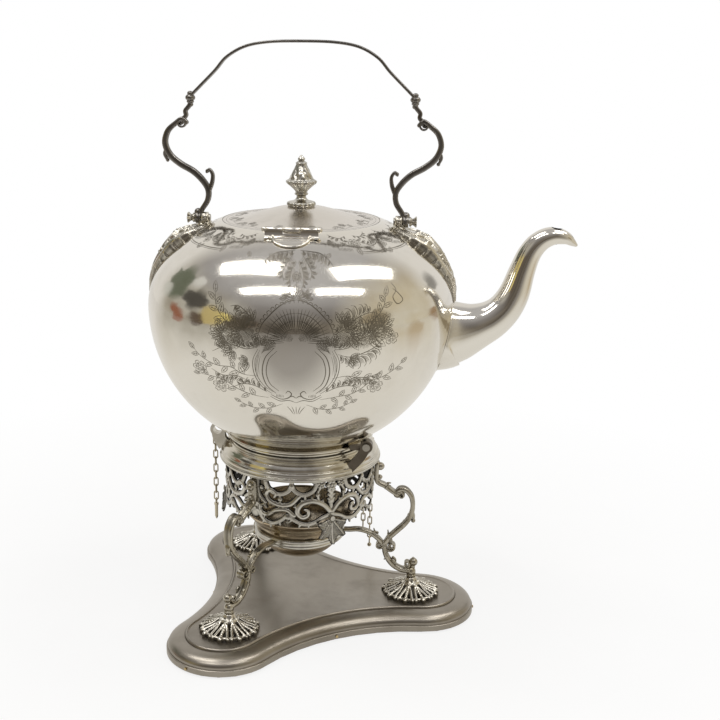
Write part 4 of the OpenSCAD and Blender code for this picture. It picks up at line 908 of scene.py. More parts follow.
casting("spout_seam", [closed_wire(spout_root, 0.55)], "silver", "kettle")
print("spout:", len(spout.data.vertices), "points")

# %% [markdown]
# ## Plinth
# The plinth is a board with three lobes, one under each foot, and a sheet of plate pressed over it. The
# outline is made of six arcs: three round the lobes and three hollow ones between them. Each level of the
# moulded edge is the same outline drawn in by some distance.


# %% Plinth cover
def plinth_outline(inset, lobe_steps=44, waist_steps=40):
    out = []
    lobe_turn = 87.36
    for k in range(3):
        spot = math.radians(120 * k)
        for a in np.radians(np.linspace(-lobe_turn, lobe_turn, lobe_steps)):
            out.append(((83 + (36 - inset) * math.cos(a)), (36 - inset) * math.sin(a), spot))
        for a in np.radians(np.linspace(lobe_turn + 180, 300 - lobe_turn, waist_steps + 2)[1:-1]):
            out.append((180.37 * math.cos(math.pi / 3) + (120.37 + inset) * math.cos(a),
                180.37 * math.sin(math.pi / 3) + (120.37 + inset) * math.sin(a), spot))
    return [(x * math.cos(s) - y * math.sin(s), x * math.sin(s) + y * math.cos(s)) for x, y, s in out]


def plinth_levels():
    round_edge = [(0.9 + 10.6 * (1 - math.cos(a)), 5.3 + 6.1 * math.sin(a))
                  for a in np.radians(np.linspace(0, 90, 17))[1:]]
    bead = [(12.0, 11.1), (12.1, 11.9), (12.5, 12.4), (13.0, 12.6), (13.5, 12.4), (13.9, 12.1), (14.3, 12.0)]
    return ([(1, 0.6), (0.3, 0.6), (0, 0.9), (0, 2.5), (0, 4.3), (0.2, 4.5), (0.8, 4.6), (0.95, 4.8),
        (0.9, 5.3)] + round_edge + bead)


def make_plinth():
    levels = plinth_levels()
    outer = [[(x, y, z) for x, y in plinth_outline(d)] for d, z in levels]
    inner = [[(x, y, z) for x, y in plinth_outline(d)] for d, z in ((14.5, 11.0), (13, 10), (1, 4.1))]
    n = len(outer[0])
    rows = outer + inner
    points = np.array(rows).reshape(-1, 3)
    k = len(outer)
    faces = [list(map(int, f)) for f in grid_faces(k, n)]
    faces += [[int(k * n + i) for i in f] for f in grid_faces(3, n)]
    faces += [[(len(rows) - 1) * n + j, (len(rows) - 1) * n + (j + 1) % n, (j + 1) % n, j] for j in range(n)]
    points = np.vstack([points, [(0, 0, 12.0), (0, 0, 11.0)]])
    faces += [[(k - 1) * n + j, (k - 1) * n + (j + 1) % n, len(points) - 2] for j in range(n)]
    faces += [[k * n + (j + 1) % n, k * n + j, len(points) - 1] for j in range(n)]
    piece = make_piece("plinth_plate", points, faces, "plinth", "stand", ["plinth_cover"], 40)
    tidy_normals(piece)
    piece.data.set_sharp_from_angle(angle=math.radians(40))
    return piece


plinth = make_plinth()
print("plinth:", len(plinth.data.vertices), "points")

# %% [markdown]
# ## Lamp and burner ring
# The little spirit lamp is turned and spun from sheet. Its flared rim has a rolled edge, its cover rises
# in soft steps to the burner tube, and the wick stands in the tube.


# %% Lamp
def lamp_bowl_profile():
    z, r, d, w, q, h = 57.95, 27.3, 20.5, 1.2, 37.0, 13.5
    under = [(r * math.sin(a), z - 3 - (d - 3) * math.cos(a)) for a in np.radians(np.linspace(3, 90, 26))]
    flare = smooth_line([(r + 1.8, z + 1.6), (r + 3.4, z + h * 0.36), (q - 2.6, z + h * 0.68),
        (q - 1, z + h - 2)], 6)
    roll = [(q + 0.5 * math.cos(a) - 0.1, z + h - 0.75 + 0.75 * math.sin(a))
            for a in np.radians(np.linspace(-50, 90, 8))]
    back = [(q - 1, z + h - 0.2), (q - 2, z + h - 1.6), (q - 3.6, z + h * 0.68 + 0.4),
        (r + 2.4, z + h * 0.36 + 0.5), (r + 0.6, z + 2.2), (r + 0.6, z + 1), (r - w, z + 1)]
    inside = [((r - w) * math.sin(a), z - 3 - (d - 3 - w) * math.cos(a))
              for a in np.radians(np.linspace(90, 3, 18))]
    neck = [(r, z), (r + 1.2, z + 0.05), (r + 1.5, z + 0.5)]
    return [(0, z - d)] + under + neck + flare.tolist() + roll + back + inside + [(0, z - d + w)]


def lamp_cover_profile():
    z, q, r = 59.05, 7.0, 27.85
    steps = [(r, z), (r + 0.02, z + 0.7), (r - 0.4, z + 1.1), (r - 2.4, z + 1.3), (r - 3.0, z + 1.9),
        (r - 4, z + 2.2), (r - 9, z + 2.7), (q + 4.6, z + 3.3), (q + 4.2, z + 3.9), (q + 3.4, z + 4.0),
        (q + 1.4, z + 4.05), (q + 0.5, z + 4.4), (q, z + 5.2), (q, z + 12.6), (q + 0.3, z + 12.9),
        (q + 0.3, z + 13.5), (q - 0.1, z + 13.95)]
    return [(q - 1, z - 6)] + [(q, z - 6), (q, z)] + steps + [(q - 1, z + 13.9), (q - 1, z - 6)]


lamp = turned("lamp_bowl_spun", lamp_bowl_profile(), "lamp", "lamp", ["lamp_bowl"], around=144, sharp=45)
turned("lamp_cover_spun", lamp_cover_profile(), "lamp", "lamp", ["lamp_cover"], around=144, sharp=45)
turned("burner_ring_turned", rounded([(27.6, 52), (30.0, 52), (30.5, 52.5), (30.5, 53.6), (30.1, 54.2),
    (30.1, 55.6), (30.5, 56.2), (30.5, 57.2), (30.0, 57.9), (27.6, 57.9), (27.6, 52)]),
    slots["burner_ring"], "stand", ["burner_ring"], around=144, sharp=45)
print("lamp and burner ring turned")

# %% [markdown]
# ## Legs
# Each leg is a cast scroll: a short bracket drops from the gallery, a long C-curve swings out and back in,
# and the lower end sweeps out to the foot. An arm runs inwards to hold the burner ring. Curls, leaves and
# small buds cover the joints.


# %% Legs
def leg_forms():
    plate, foot = 49.55, 76.5
    bracket = strap([(plate + 2.3, 104.5), (plate + 2.3, 92.5), (57.5, 88.6), (61.5, 85.6), (66, 82.6)],
        3.6, 3, 6.4)
    main = strap([(65, 82.6), (67.2, 86.4), (71.4, 86.2), (75.3, 81.5), (76.4, 74.5), (75.2, 68),
        (71.6, 62), (66, 56.2), (60.8, 50.6), (58.2, 44.8), (59.2, 38.4), (63.4, 32), (69.5, 28.2),
        (75, 27.6)], 3.4, 3.6, 6.4, groove=0.34)
    spur = strap([(75.6, 71), (77.2, 67.5), (77, 64)], 2.6, 1.4, 4.6, depth1=3)
    arm = strap([(58.6, 43), (54, 49.6), (47.5, 54.2), (40.5, 56), (34.05, 55.5), (30.95, 55.5)], 3.4,
        2.4, 5.0, depth1=5.6)
    curl = spiral(68.3, 82.3, 3.1, -0.9, 150, 2.2, 1.2, 6.8)
    low_curl = spiral(62.4, 45.0, 3.9, 1.15, 200, 2.0, 1.0, 6.2)
    knee = spiral(54.4, 45.6, 3.2, -1.0, 30, 2.0, 1.0, 6.0)
    foot_curl = spiral(73.4, 32.4, 3.0, 1.0, 250, 1.8, 0.9, 5.4)
    neck = [ball(foot, 0, 26.4, 3.3, 1.15), ball(foot + 0.2, 0, 24.0, 3.5, 0.5, 10, 0.1),
        ball(foot + 1.1, 0, 30.4, 1.7, 1.5), ball(foot + 1.4, 0, 33.6, 3.0, 1.0, 6, 0.14),
        ball(foot + 1.4, 0, 36.2, 1.0, 1.0)]
    beads = [ball(66, 0, 82.8, 3.0, 0.95, 8, 0.12), ball(plate + 4.4, 0, 102.1, 2.9, 0.95, 7, 0.12),
        ball(77.0, 0, 64.0, 1.5), ball(plate + 3.9, 0, 94.4, 2.2, 0.8, 6, 0.12)]
    leaves = []
    for side in (-1, 1):
        for x, z, a, size in ((62.6, 50.2, 118, 5.4), (59.4, 46.2, 170, 4.6), (70.2, 60.0, 60, 4.4),
                (73.9, 65.2, 75, 3.6), (59.8, 40.0, 250, 4.6), (64.0, 35.0, 300, 4.2),
                (53.0, 52.8, 130, 3.8), (58.0, 87.6, 30, 3.6)):
            c, s = math.cos(math.radians(a)), math.sin(math.radians(a))
            line = [(x, z), (x + size * 0.5 * c - 0.8 * s, z + size * 0.5 * s + 0.8 * c),
                (x + size * c, z + size * s)]
            leaves.append(strap(line, 1.9, 0.8, 1.9, depth1=0.9, y=side * 2.5, steps=4, around=12,
                groove=0.1))
    return [bracket, main, spur, arm, curl, low_curl, knee, foot_curl, *neck, *beads, *leaves]


leg_form = joined(leg_forms())
for name, turn in (("leg_right", 0), ("leg_back", 120), ("leg_front", 240)):
    casting(name + "_cast", [turned_by(leg_form, turn)], "leg_metal", "stand", [name])
print("legs:", len(leg_form[0]), "points each")

# %% [markdown]
# ## Handle
# The handle is dark cast scrollwork at each side and a thin flat bow across the top. The scroll has an
# eye at the kettle, a forked S-curve, an outer C with a spur, and a volute that rises to a small knob.


# %% Handle
HANDLE_Z = 266.5
SIDES = (("right", False), ("left", True))


def handle_arm_forms():
    main = strap([(66.1, 267.5), (63.5, 272.1), (59.9, 278), (59.5, 284.5), (63.1, 290.5), (69, 296),
        (77, 300.5), (83.5, 306), (86.6, 313.5), (84.6, 321), (79.4, 325.9), (75.4, 328.6),
        (72.8, 326.4)], 3.3, 2.9, 4.6, groove=0.3, swell=1.1)
    rise = strap([(75.2, 328.2), (72.9, 330.6), (73.2, 333.4), (71.2, 336.0), (70, 337.6)], 2.9, 3.0, 4.0)
    curl = strap([(59.6, 282.5), (57.1, 288.5), (56.5, 294), (58.6, 297.2), (60.2, 295.6)], 3.2, 1.7, 4.4,
        depth1=3)
    spur = strap([(85.4, 310), (86.9, 306.5), (85.3, 302.5)], 3.2, 1.6, 4.2, depth1=2.6)
    volute = spiral(76.0, 325.9, 3.3, 1.35, 120, 1.5, 0.9, 4.8)
    eye = [rod([(64.3, 0, HANDLE_Z), (67.9, 0, HANDLE_Z)], 3.7, 32), ball(76.2, 0, 325.8, 1.2, 1.0),
        ball(59.9, 0, 296.2, 1.3), ball(85.3, 0, 302.7, 1.2), ball(66.1, 0, 270.3, 2.6, 0.9)]
    return [main, rise, curl, spur, volute, *eye]


arm_form = joined(handle_arm_forms())
for side, mirror in SIDES:
    arm = "handle_arm_" + side
    casting("handle_scroll_" + side, [turned_by(arm_form, mirror=mirror)], slots[arm], "handle", [arm])


def make_bow():
    half = [(69, 343.4), (63.5, 348.8), (54, 358.2), (46.5, 366.5), (35, 372.8), (20, 375.5), (0, 376.05)]
    line = [(-x, z) for x, z in half] + half[::-1][1:]
    rounded_bar = strap(line, 1.9, 1.9, 6.0, steps=10, groove=0.12, square=0.5)
    return casting("bow_strap", [rounded_bar], slots["handle_bow"], "handle", ["handle_bow"])


def knob_form(x):
    base = [ball(x, 0, 339.2, 2.4, 0.55, 10, 0.1), ball(x, 0, 341.6, 3.2, 0.72, 10, 0.14),
        ball(x, 0, 337.4, 1.9, 0.8), ball(x, 0, 344.2, 1.9, 0.8)]
    return joined(base)


make_bow()
casting("bow_knobs_cast", [knob_form(-70), knob_form(70)], slots["bow_knobs"], "handle", ["bow_knobs"])
print("handle made")

# %% [markdown]
# ## Cast ornament
# Rococo castings are made of strands: scrolls, ribs, leaves and beads that swell and taper. Each strand is
# a smooth line with a width, laid on a flat pattern. Where the pattern has metal, small faces are kept, and
# the outermost points are slid onto the strand's own edge, so the cut-out edge is clean. Every strand gets
# a rounded crest, and the metal beside it is marked as hollow, which is where the tarnish gathers.


# %% Strands
def stroke(points, w0, w1, height, swell=0.0, steps=6, groove=0.0):
    line = smooth_line(points, steps) if len(points) > 1 else np.asarray(points, float)
    share = np.linspace(0, 1, len(line))
    width = w0 + (w1 - w0) * share + swell * np.sin(np.pi * share)
    return line, width, height, groove


def heavier(strands, factor):
    return [(line, width * factor, height, groove) for line, width, height, groove in strands]


def dot(u, v, radius, height, groove=0.0):
    return np.array([[u, v]], float), np.array([float(radius)]), height, groove


def curl(u, v, radius, turns, start, w0, w1, height, inner=0.2):
    s = np.linspace(0, 1, 22)
    a = math.radians(start) + 2 * math.pi * turns * s
    r = radius * (1 - (1 - inner) * s ** 0.85)
    return stroke(np.stack([u + r * np.cos(a), v + r * np.sin(a)], 1), w0, w1, height, steps=2)


def rosette(u, v, radius, petals, height, start=0.0):
    out = [dot(u, v, radius * 0.30, height * 1.25)]
    for k in range(petals):
        a = math.radians(start) + 2 * math.pi * k / petals
        out.append(dot(u + 0.62 * radius * math.cos(a), v + 0.62 * radius * math.sin(a), radius * 0.36,
            height))
    return out


def fronds(line, side, places, length, width, height, lean=38, taper=0.3):
    """Small pointed leaves that spring from one side of a strand and lean along it."""
    out = []
    p = smooth_line(line, 8)
    for share in places:
        k = min(max(int(share * (len(p) - 1)), 1), len(p) - 2)
        way = p[k + 1] - p[k - 1]
        a = math.atan2(way[1], way[0]) + side * math.radians(lean)
        tip = p[k] + length * np.array([math.cos(a), math.sin(a)])
        bend = p[k] + 0.55 * length * np.array([math.cos(a - side * 0.35), math.sin(a - side * 0.35)])
        out.append(stroke([p[k], bend, tip], width, width * taper, height, swell=width * 0.35, steps=4))
    return out


def mirrored(strands, axis=0):
    out = []
    for line, width, height, groove in strands:
        other = line.copy()
        other[:, axis] *= -1
        out.append((other, width, height, groove))
    return strands + out


def moved(strands, du=0.0, dv=0.0, degrees=0.0):
    c, s = math.cos(math.radians(degrees)), math.sin(math.radians(degrees))
    turn = np.array([[c, s], [-s, c]])
    return [(line @ turn + (du, dv), width, height, groove) for line, width, height, groove in strands]


def strand_grid(strands, u, v):
    """How far each grid point lies inside its nearest strand, how high it is, and how near a crest."""
    field = np.full((len(u), len(v)), -9.0)
    high, crest = np.zeros(field.shape), np.zeros(field.shape)
    for line, width, height, groove in strands:
        pairs = [(k, k + 1) for k in range(len(line) - 1)] or [(0, 0)]
        for a, b in pairs:
            reach = max(width[a], width[b]) + 1.2
            lo, hi = np.minimum(line[a], line[b]) - reach, np.maximum(line[a], line[b]) + reach
            i0, i1 = np.searchsorted(u, [lo[0], hi[0]])
            j0, j1 = np.searchsorted(v, [lo[1], hi[1]])
            if i0 >= i1 or j0 >= j1:
                continue
            du, dv = u[i0:i1, None] - line[a][0], v[None, j0:j1] - line[a][1]
            run = line[b] - line[a]
            long = float(run @ run)
            t = np.zeros((i1 - i0, j1 - j0))
            if long > 1e-12:
                t = np.clip((du * run[0] + dv * run[1]) / long, 0, 1)
            away = np.hypot(du - t * run[0], dv - t * run[1])
            wide = width[a] + (width[b] - width[a]) * t
            near = wide - away
            box = (slice(i0, i1), slice(j0, j1))
            field[box] = np.maximum(field[box], near)
            round_top = np.sqrt(np.clip(1 - (away / np.maximum(wide, 1e-6)) ** 2, 0, 1))
            dip = groove * np.exp(-(away / (0.3 * wide)) ** 2)
            rise = height * (0.25 + 0.75 * round_top - dip) * (near > -0.6)
            better = rise > high[box]
            crest[box] = np.where(better & (near > 0), round_top, crest[box])
            high[box] = np.maximum(high[box], rise)
    return field, high, crest


def relief_form(strands, u_span, v_span, step, place, back=0.0, wrap=False):
    """A sheet of cast ornament. place(u, v, h) lays the pattern on its surface, h above the back."""
    count = int(round((u_span[1] - u_span[0]) / step))
    u = u_span[0] + (u_span[1] - u_span[0]) * np.arange(count + (0 if wrap else 1)) / count
    v = np.arange(v_span[0], v_span[1] + step / 2, step)
    field, high, crest = strand_grid(strands, u, v)
    gu, gv = np.gradient(field, u[1] - u[0], v[1] - v[0])
    size = np.maximum(np.hypot(gu, gv), 0.35)
    slide = np.where(field < 0, np.clip(-field, 0, 1.3 * step), 0)
    uu, vv = u[:, None] + slide * gu / size, v[None] + slide * gv / size
    rows = len(u) if wrap else len(u) - 1
    i, j = np.meshgrid(np.arange(rows), np.arange(len(v) - 1), indexing="ij")
    k = (i + 1) % len(u)
    kept = (field[i, j] > 0) | (field[k, j] > 0) | (field[i, j + 1] > 0) | (field[k, j + 1] > 0)
    index = np.arange(field.size).reshape(field.shape)
    quads = np.stack([index[i, j], index[k, j], index[k, j + 1], index[i, j + 1]], -1)[kept]
    used, quads = np.unique(quads, return_inverse=True)
    quads = quads.reshape(-1, 4)
    n = len(used)
    pu, pv, ph, pc = (a.reshape(-1)[used] for a in (uu, vv, high, crest))
    front, rear = place(pu, pv, ph), place(pu, pv, np.full(n, back))
    a, b = quads.reshape(-1), np.roll(quads, -1, 1).reshape(-1)
    edge = ~np.isin(a.astype(np.int64) * n + b, b.astype(np.int64) * n + a)
    sides = np.stack([b[edge], a[edge], a[edge] + n, b[edge] + n], -1)
    faces = np.vstack([quads, quads[:, ::-1] + n, sides]).tolist()
    marks = np.concatenate([np.clip(1 - pc, 0, 1) ** 1.5 * 0.9, np.full(n, 0.7)])
    return np.vstack([front, rear]), faces, marks


def relief(name, form, finish, body, replaces=(), sharp=55):
    points, faces, marks = form
    return make_piece(name, points, faces, finish, body, replaces, sharp, marks)


print("strand helpers ready")

# %% [markdown]
# ## Gallery
# A pierced apron hangs from the ring and hides the flame. Swags with a double line hang from its rail
# between clusters of flowers, and leafy scrolls fill the space down to a waved border. One half of one
# panel is drawn, then it is mirrored, and the panel is laid three times round the ring.


# %% Gallery
GALLERY_BACK = 48.35
PANEL = 2 * math.pi * 49.5 / 3


def gallery_half():
    rail = [stroke([(-1, 110.4), (26, 110.4), (53, 110.4)], 1.7, 1.7, 1.25)]
    swag = [(9.5, 107.5), (12, 101.5), (18, 98.6), (23.5, 100.8), (26, 105)]
    swag2 = [(26, 105), (28.5, 100.8), (34, 98.6), (40.5, 101), (44, 107.5)]
    out = rail + [stroke(line, 1.35, 1.35, 1.9, groove=0.45) for line in (swag, swag2)]
    out += [stroke([(26, 104), (26, 110)], 1.3, 1.0, 1.6), dot(26, 104.4, 1.7, 2.2)]
    out += rosette(0, 104.2, 3.9, 6, 2.0) + rosette(7.0, 105.2, 3.1, 5, 1.9, 20)
    out += [dot(11.6, 107.4, 1.3, 1.7)]
    big = [(1.0, 86.5), (5.5, 91.5), (12.5, 94.4), (19.5, 92.6), (22.4, 87.4), (19.6, 83.6), (15.8, 84.6),
        (15.4, 87.8), (17.6, 88.8)]
    right = [(21.5, 97.5), (27, 92.2), (34, 91.2), (40.6, 93.6), (42.8, 98.0), (39.4, 101.0),
        (36.2, 98.8), (37.4, 96.2)]
    low = [(24.5, 84.6), (29.5, 88.2), (36.5, 87.4), (41.8, 83.8), (46.2, 84.4), (47.4, 88.6),
        (44.6, 90.4), (42.8, 88.6)]
    out += [stroke(big, 1.5, 0.8, 2.0, swell=0.4), stroke(right, 1.4, 0.75, 1.9, swell=0.35),
        stroke(low, 1.3, 0.7, 1.8, swell=0.3)]
    out += fronds(big, 1, (0.12, 0.22, 0.32, 0.42), 4.2, 1.0, 1.7)
    out += fronds(big, -1, (0.1, 0.24, 0.38, 0.5), 3.2, 0.9, 1.6)
    out += fronds(right, 1, (0.16, 0.3, 0.42, 0.54), 3.6, 0.9, 1.6)
    out += fronds(right, -1, (0.2, 0.36, 0.5), 3.4, 0.9, 1.6)
    out += fronds(low, 1, (0.2, 0.34), 3.2, 0.85, 1.5) + fronds(low, -1, (0.14, 0.3, 0.46), 3.2, 0.85, 1.5)
    out += [stroke([(8.5, 94.4), (9.4, 99.5), (7.4, 103)], 0.9, 0.8, 1.5), dot(9.3, 98.4, 1.5, 2.0)]
    out += [stroke([(17, 93.8), (17.4, 97.0), (18, 99)], 0.9, 0.8, 1.5), dot(33.5, 95.2, 1.5, 2.0),
        stroke([(33.5, 92), (33.5, 95.2), (33.8, 98.6)], 0.8, 0.8, 1.4)]
    border = [(0, 84.5), (6, 82.4), (11.5, 79.4), (18, 78.6), (24.5, 81.4), (28.5, 84.4), (32.6, 81.0),
        (38.5, 78.2), (44.5, 79.6), (49, 84.5), (52.5, 86.5)]
    out += [stroke(border, 1.25, 1.25, 1.7, groove=0.3)]
    out += fronds(border, -1, (0.16, 0.24, 0.32, 0.40, 0.62, 0.70, 0.78), 3.4, 0.85, 1.4, lean=60)
    out += [dot(28.5, 83.2, 1.9, 2.0), dot(28.6, 79.9, 1.0, 1.5),
        stroke([(28.5, 83), (28.6, 80)], 0.7, 0.6, 1.2)]
    out += [stroke([(51.84, 84), (51.84, 97), (51.84, 111)], 3.4, 3.4, 1.15)]
    out += [stroke([(43.5, 92), (47.5, 95.5), (49.5, 101), (49.5, 107)], 1.1, 0.9, 1.6, swell=0.3),
        stroke([(46.6, 88.6), (50, 91)], 0.9, 0.9, 1.3), dot(46.6, 101.4, 1.6, 1.9),
        stroke([(46.6, 101.4), (49.6, 103)], 0.7, 0.7, 1.3), dot(0, 93.4, 2.2, 1.7),
        stroke([(0, 84), (0, 93), (0, 101)], 1.6, 1.1, 1.3)]
    out += fronds([(0, 90), (0, 101)], 1, (0.25, 0.5, 0.75), 4.0, 1.0, 1.5, lean=50)
    return out


def place_gallery(u, v, h):
    calm = np.exp(-(((u + PANEL / 2) % PANEL - PANEL / 2) / 9) ** 2) * (v < 86)
    r = GALLERY_BACK + np.where(h > 0, np.minimum(h, 2.3), h) * (1 - 0.45 * calm)
    a = u / 49.5
    return np.stack([r * np.cos(a), r * np.sin(a), v], 1)


half_panel = heavier(gallery_half(), 1.22)
panel = mirrored(half_panel)
turns = [moved(panel, (k + 0.5) * PANEL) for k in range(-1, 4)]
gallery_form = relief_form([s for part in turns for s in part], (0, 3 * PANEL), (74.5, 111.9),
    0.4, place_gallery, wrap=True)
gallery_form = (gallery_form[0], gallery_form[1], np.clip(gallery_form[2] * 1.7, 0, 1))
gallery = relief("gallery_cast", gallery_form, slots["gallery"], "stand", ["gallery"])
print("gallery:", len(gallery.data.polygons), "faces")

# %% [markdown]
# ## Vine leaves
# Three cast vine leaves hang from the gallery. A leaf is drawn round its middle: five lobes with toothed
# edges give the outline, and a vein runs from the stalk to the tip of each lobe, with side veins.


# %% Vine leaf
LOBES = ((0, 4.4, 17), (-56, 3.9, 15), (56, 3.9, 15), (-113, 3.1, 16), (113, 3.1, 16))


def leaf_edge(a):
    r = 6.2 + 0 * a
    for turn, tall, wide in LOBES:
        off = (np.degrees(a) - turn + 180) % 360 - 180
        r = r + tall * np.exp(-(off / wide) ** 2)
    notch = np.exp(-(((np.degrees(a)) % 360 - 180) / 14) ** 2)
    teeth = 0.62 * np.abs(np.sin(a * 13.5 + 0.5 * np.sin(3 * a))) ** 0.8 + 0.26 * np.abs(np.sin(a * 31 + 1))
    return r - 2.6 * notch + teeth - 0.12


def vein_height(y, z):
    total = np.zeros(y.shape)
    root = np.array([0.0, 6.0])
    for turn, _, _ in LOBES:
        a = math.radians(turn)
        tip = leaf_edge(np.array([a]))[0] * 0.94 * np.array([math.sin(a), -math.cos(a)])
        run = tip - root
        t = np.clip(((y - root[0]) * run[0] + (z - root[1]) * run[1]) / (run @ run), 0, 1)
        away = np.hypot(y - root[0] - t * run[0], z - root[1] - t * run[1])
        total = np.maximum(total, np.exp(-(away / 0.42) ** 2) * (1 - 0.35 * t))
        side = ((y - root[0]) * run[1] - (z - root[1]) * run[0]) / np.linalg.norm(run)
        ribs = np.abs(np.sin((t * np.linalg.norm(run) + np.abs(side) * 0.9) * 1.7))
        rib = 0.42 * np.clip(1 - ribs * 2.4, 0, 1) * np.exp(-(away / 3.2) ** 2) * (away > 0.4)
        total = np.maximum(total, rib)
    return total


def leaf_form():
    rings, around = 22, 260
    a = full_turn(around)
    share = np.linspace(0.02, 1, rings)[:, None]
    edge = leaf_edge(a)[None]
    y, z = 1.08 * edge * share * np.sin(a), -edge * share * np.cos(a)
    y, z = y * (1 - 0.08 * np.cos(a)), z - 9.0
    veins = vein_height(y, z + 9.0)
    bend = 0.9 * np.exp(-((np.abs(y) - 7) / 3.5) ** 2) + 0.03 * np.clip(-z - 12, 0, 9) ** 2
    bend = bend + 0.9 * share ** 2 * np.cos(a * 6.4 + 1.2 * np.sin(a))[None] ** 2
    lift = 0.55 + 0.75 * veins + bend * 0.6 - 0.35 * share ** 6
    front = np.stack([lift + 0.3, y + 0 * lift, z + 0 * lift], -1).reshape(-1, 3)
    rear = np.stack([bend * 0.6 - 0.1, y + 0 * lift, z + 0 * lift], -1).reshape(-1, 3)
    n = rings * around
    faces = [[int(i) for i in f] for f in grid_faces(rings, around)]
    faces += [[int(i) + n for i in f][::-1] for f in grid_faces(rings, around)]
    faces += [[n - around + j, 2 * n - around + j, 2 * n - around + (j + 1) % around,
        n - around + (j + 1) % around] for j in range(around)]
    faces += [list(range(around))[::-1], list(range(n, n + around))]
    marks = np.clip(0.42 - 1.2 * veins + 0.5 * (share > 0.93), 0, 1).reshape(-1)
    points = np.vstack([front, rear])
    c, s = math.cos(math.radians(3)), math.sin(math.radians(3))
    x, zz = points[:, 0] * c - points[:, 2] * s, points[:, 0] * s + points[:, 2] * c
    return np.stack([x + 49.8, points[:, 1], zz + 84.3], 1), faces, np.concatenate([marks, np.full(n, 0.5)])


vine_leaf = leaf_form()
for name, turn in (("leaf_near", 300), ("leaf_far", 60), ("leaf_rear", 180)):
    casting(name + "_vine", [turned_by(vine_leaf, turn)], slots[name], "stand", [name], sharp=60)
print("vine leaves:", len(vine_leaf[0]), "points each")

# %% [markdown]
# ## Feet
# Each foot is a low pierced shell: nine beaded ribs spread from the neck, and small arches join their
# ends, so that the edge is scalloped and dark openings show between the ribs.


# %% Foot shells
FOOT_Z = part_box("foot_shell_right")[0][2] / MM
FOOT_SLOPE = np.array([(0, 10.4), (3.4, 10.3), (4.6, 8.2), (6.5, 6.3), (9, 4.9), (12, 3.5), (15, 2.4),
    (17.5, 1.5), (19, 0.9), (21, 0.6)])


def foot_strands():
    rim = [(17.0 * math.cos(a), 17.0 * math.sin(a)) for a in np.linspace(0, 2 * math.pi, 37)]
    out = [dot(0, 0, 4.7, 0.9), stroke(rim, 0.7, 0.7, 0.5, steps=2)]
    for k in range(9):
        ray = [stroke([(3.6, 0), (8, 0), (13, 0), (17.6, 0)], 1.15, 1.0, 1.1)]
        ray += [dot(r, 0, 0.85, 1.75) for r in np.arange(6.0, 17, 1.75)]
        ray.append(dot(18.3, 0, 1.5, 1.8))
        for side in (-1, 1):
            loop = [(7.0, side * 0.6), (10.5, side * 2.3), (14.4, side * 3.6), (17.2, side * 4.6)]
            ray.append(stroke(loop, 0.75, 0.75, 1.2, swell=0.2))
            ray.append(dot(17.4, side * 5.0, 0.95, 1.2))
        ray.append(stroke([(5.4, -1.6), (6.0, 0), (5.4, 1.6)], 0.9, 0.9, 0.9))
        out += moved(ray, degrees=20 + 40 * k)
    return out


def place_foot(u, v, h):
    r = np.hypot(u, v)
    z = FOOT_Z + np.interp(r, FOOT_SLOPE[:, 0], FOOT_SLOPE[:, 1]) + np.where(h > 0, h * 0.8, -1.1)
    return np.stack([76.5 + u, v, np.clip(z, FOOT_Z, FOOT_Z + 10.9)], 1)


foot_form = relief_form(foot_strands(), (-20.5, 20.5), (-20.5, 20.5), 0.36,
    place_foot)
for name, turn in (("foot_shell_right", 0), ("foot_shell_back", 120), ("foot_shell_front", 240)):
    relief(name + "_cast", turned_by(foot_form, turn), slots[name], "stand", [name])
print("feet:", len(foot_form[1]), "faces each")

# %% [markdown]
# ## Handle mounts
# The mounts are the richest castings: a shell with ribs, edged with C-scrolls and flowers, that runs down
# the shoulder and ends in a tail of husks. They are laid on the bulb's own curved surface, and the lug
# that carries the handle stands at their upper end.


# %% Handle mounts
MOUNT = np.array([(60, 0.08, 0.5), (66, 0.3, 0.84), (72, 0.78, 1), (78, 1, 1), (84, 0.88, 0.9),
    (89, 0.7, 0.72), (93, 0.56, 0.52), (96, 0.4, 0.32), (97.8, 0.15, 0.14)])


def on_shoulder(r, turn, lift):
    z = BODY_Z + BODY_UP * np.sqrt(np.clip(1 - (r / BODY_R) ** 2, 0, 1))
    x, y = r / BODY_R ** 2, (z - BODY_Z) / BODY_UP ** 2
    size = np.hypot(x, y)
    out = r + x / size * lift
    return np.stack([out * np.cos(turn), out * np.sin(turn), z + y / size * lift], 1)


def place_mount(u, v, h):
    r = np.clip(u, 59.5, 97.85)
    tall, wide = np.interp(r, MOUNT[:, 0], MOUNT[:, 1]) * 8, np.interp(r, MOUNT[:, 0], MOUNT[:, 2]) * 15
    dome = 0.68 * tall * np.sqrt(np.clip(1 - (v / (wide + 0.6)) ** 2, 0, 1))
    lift = np.where(h > 0, 0.35 + dome + np.minimum(h, 2.6) * (0.45 + 0.075 * tall), 0.05)
    return on_shoulder(r, v / r, lift)


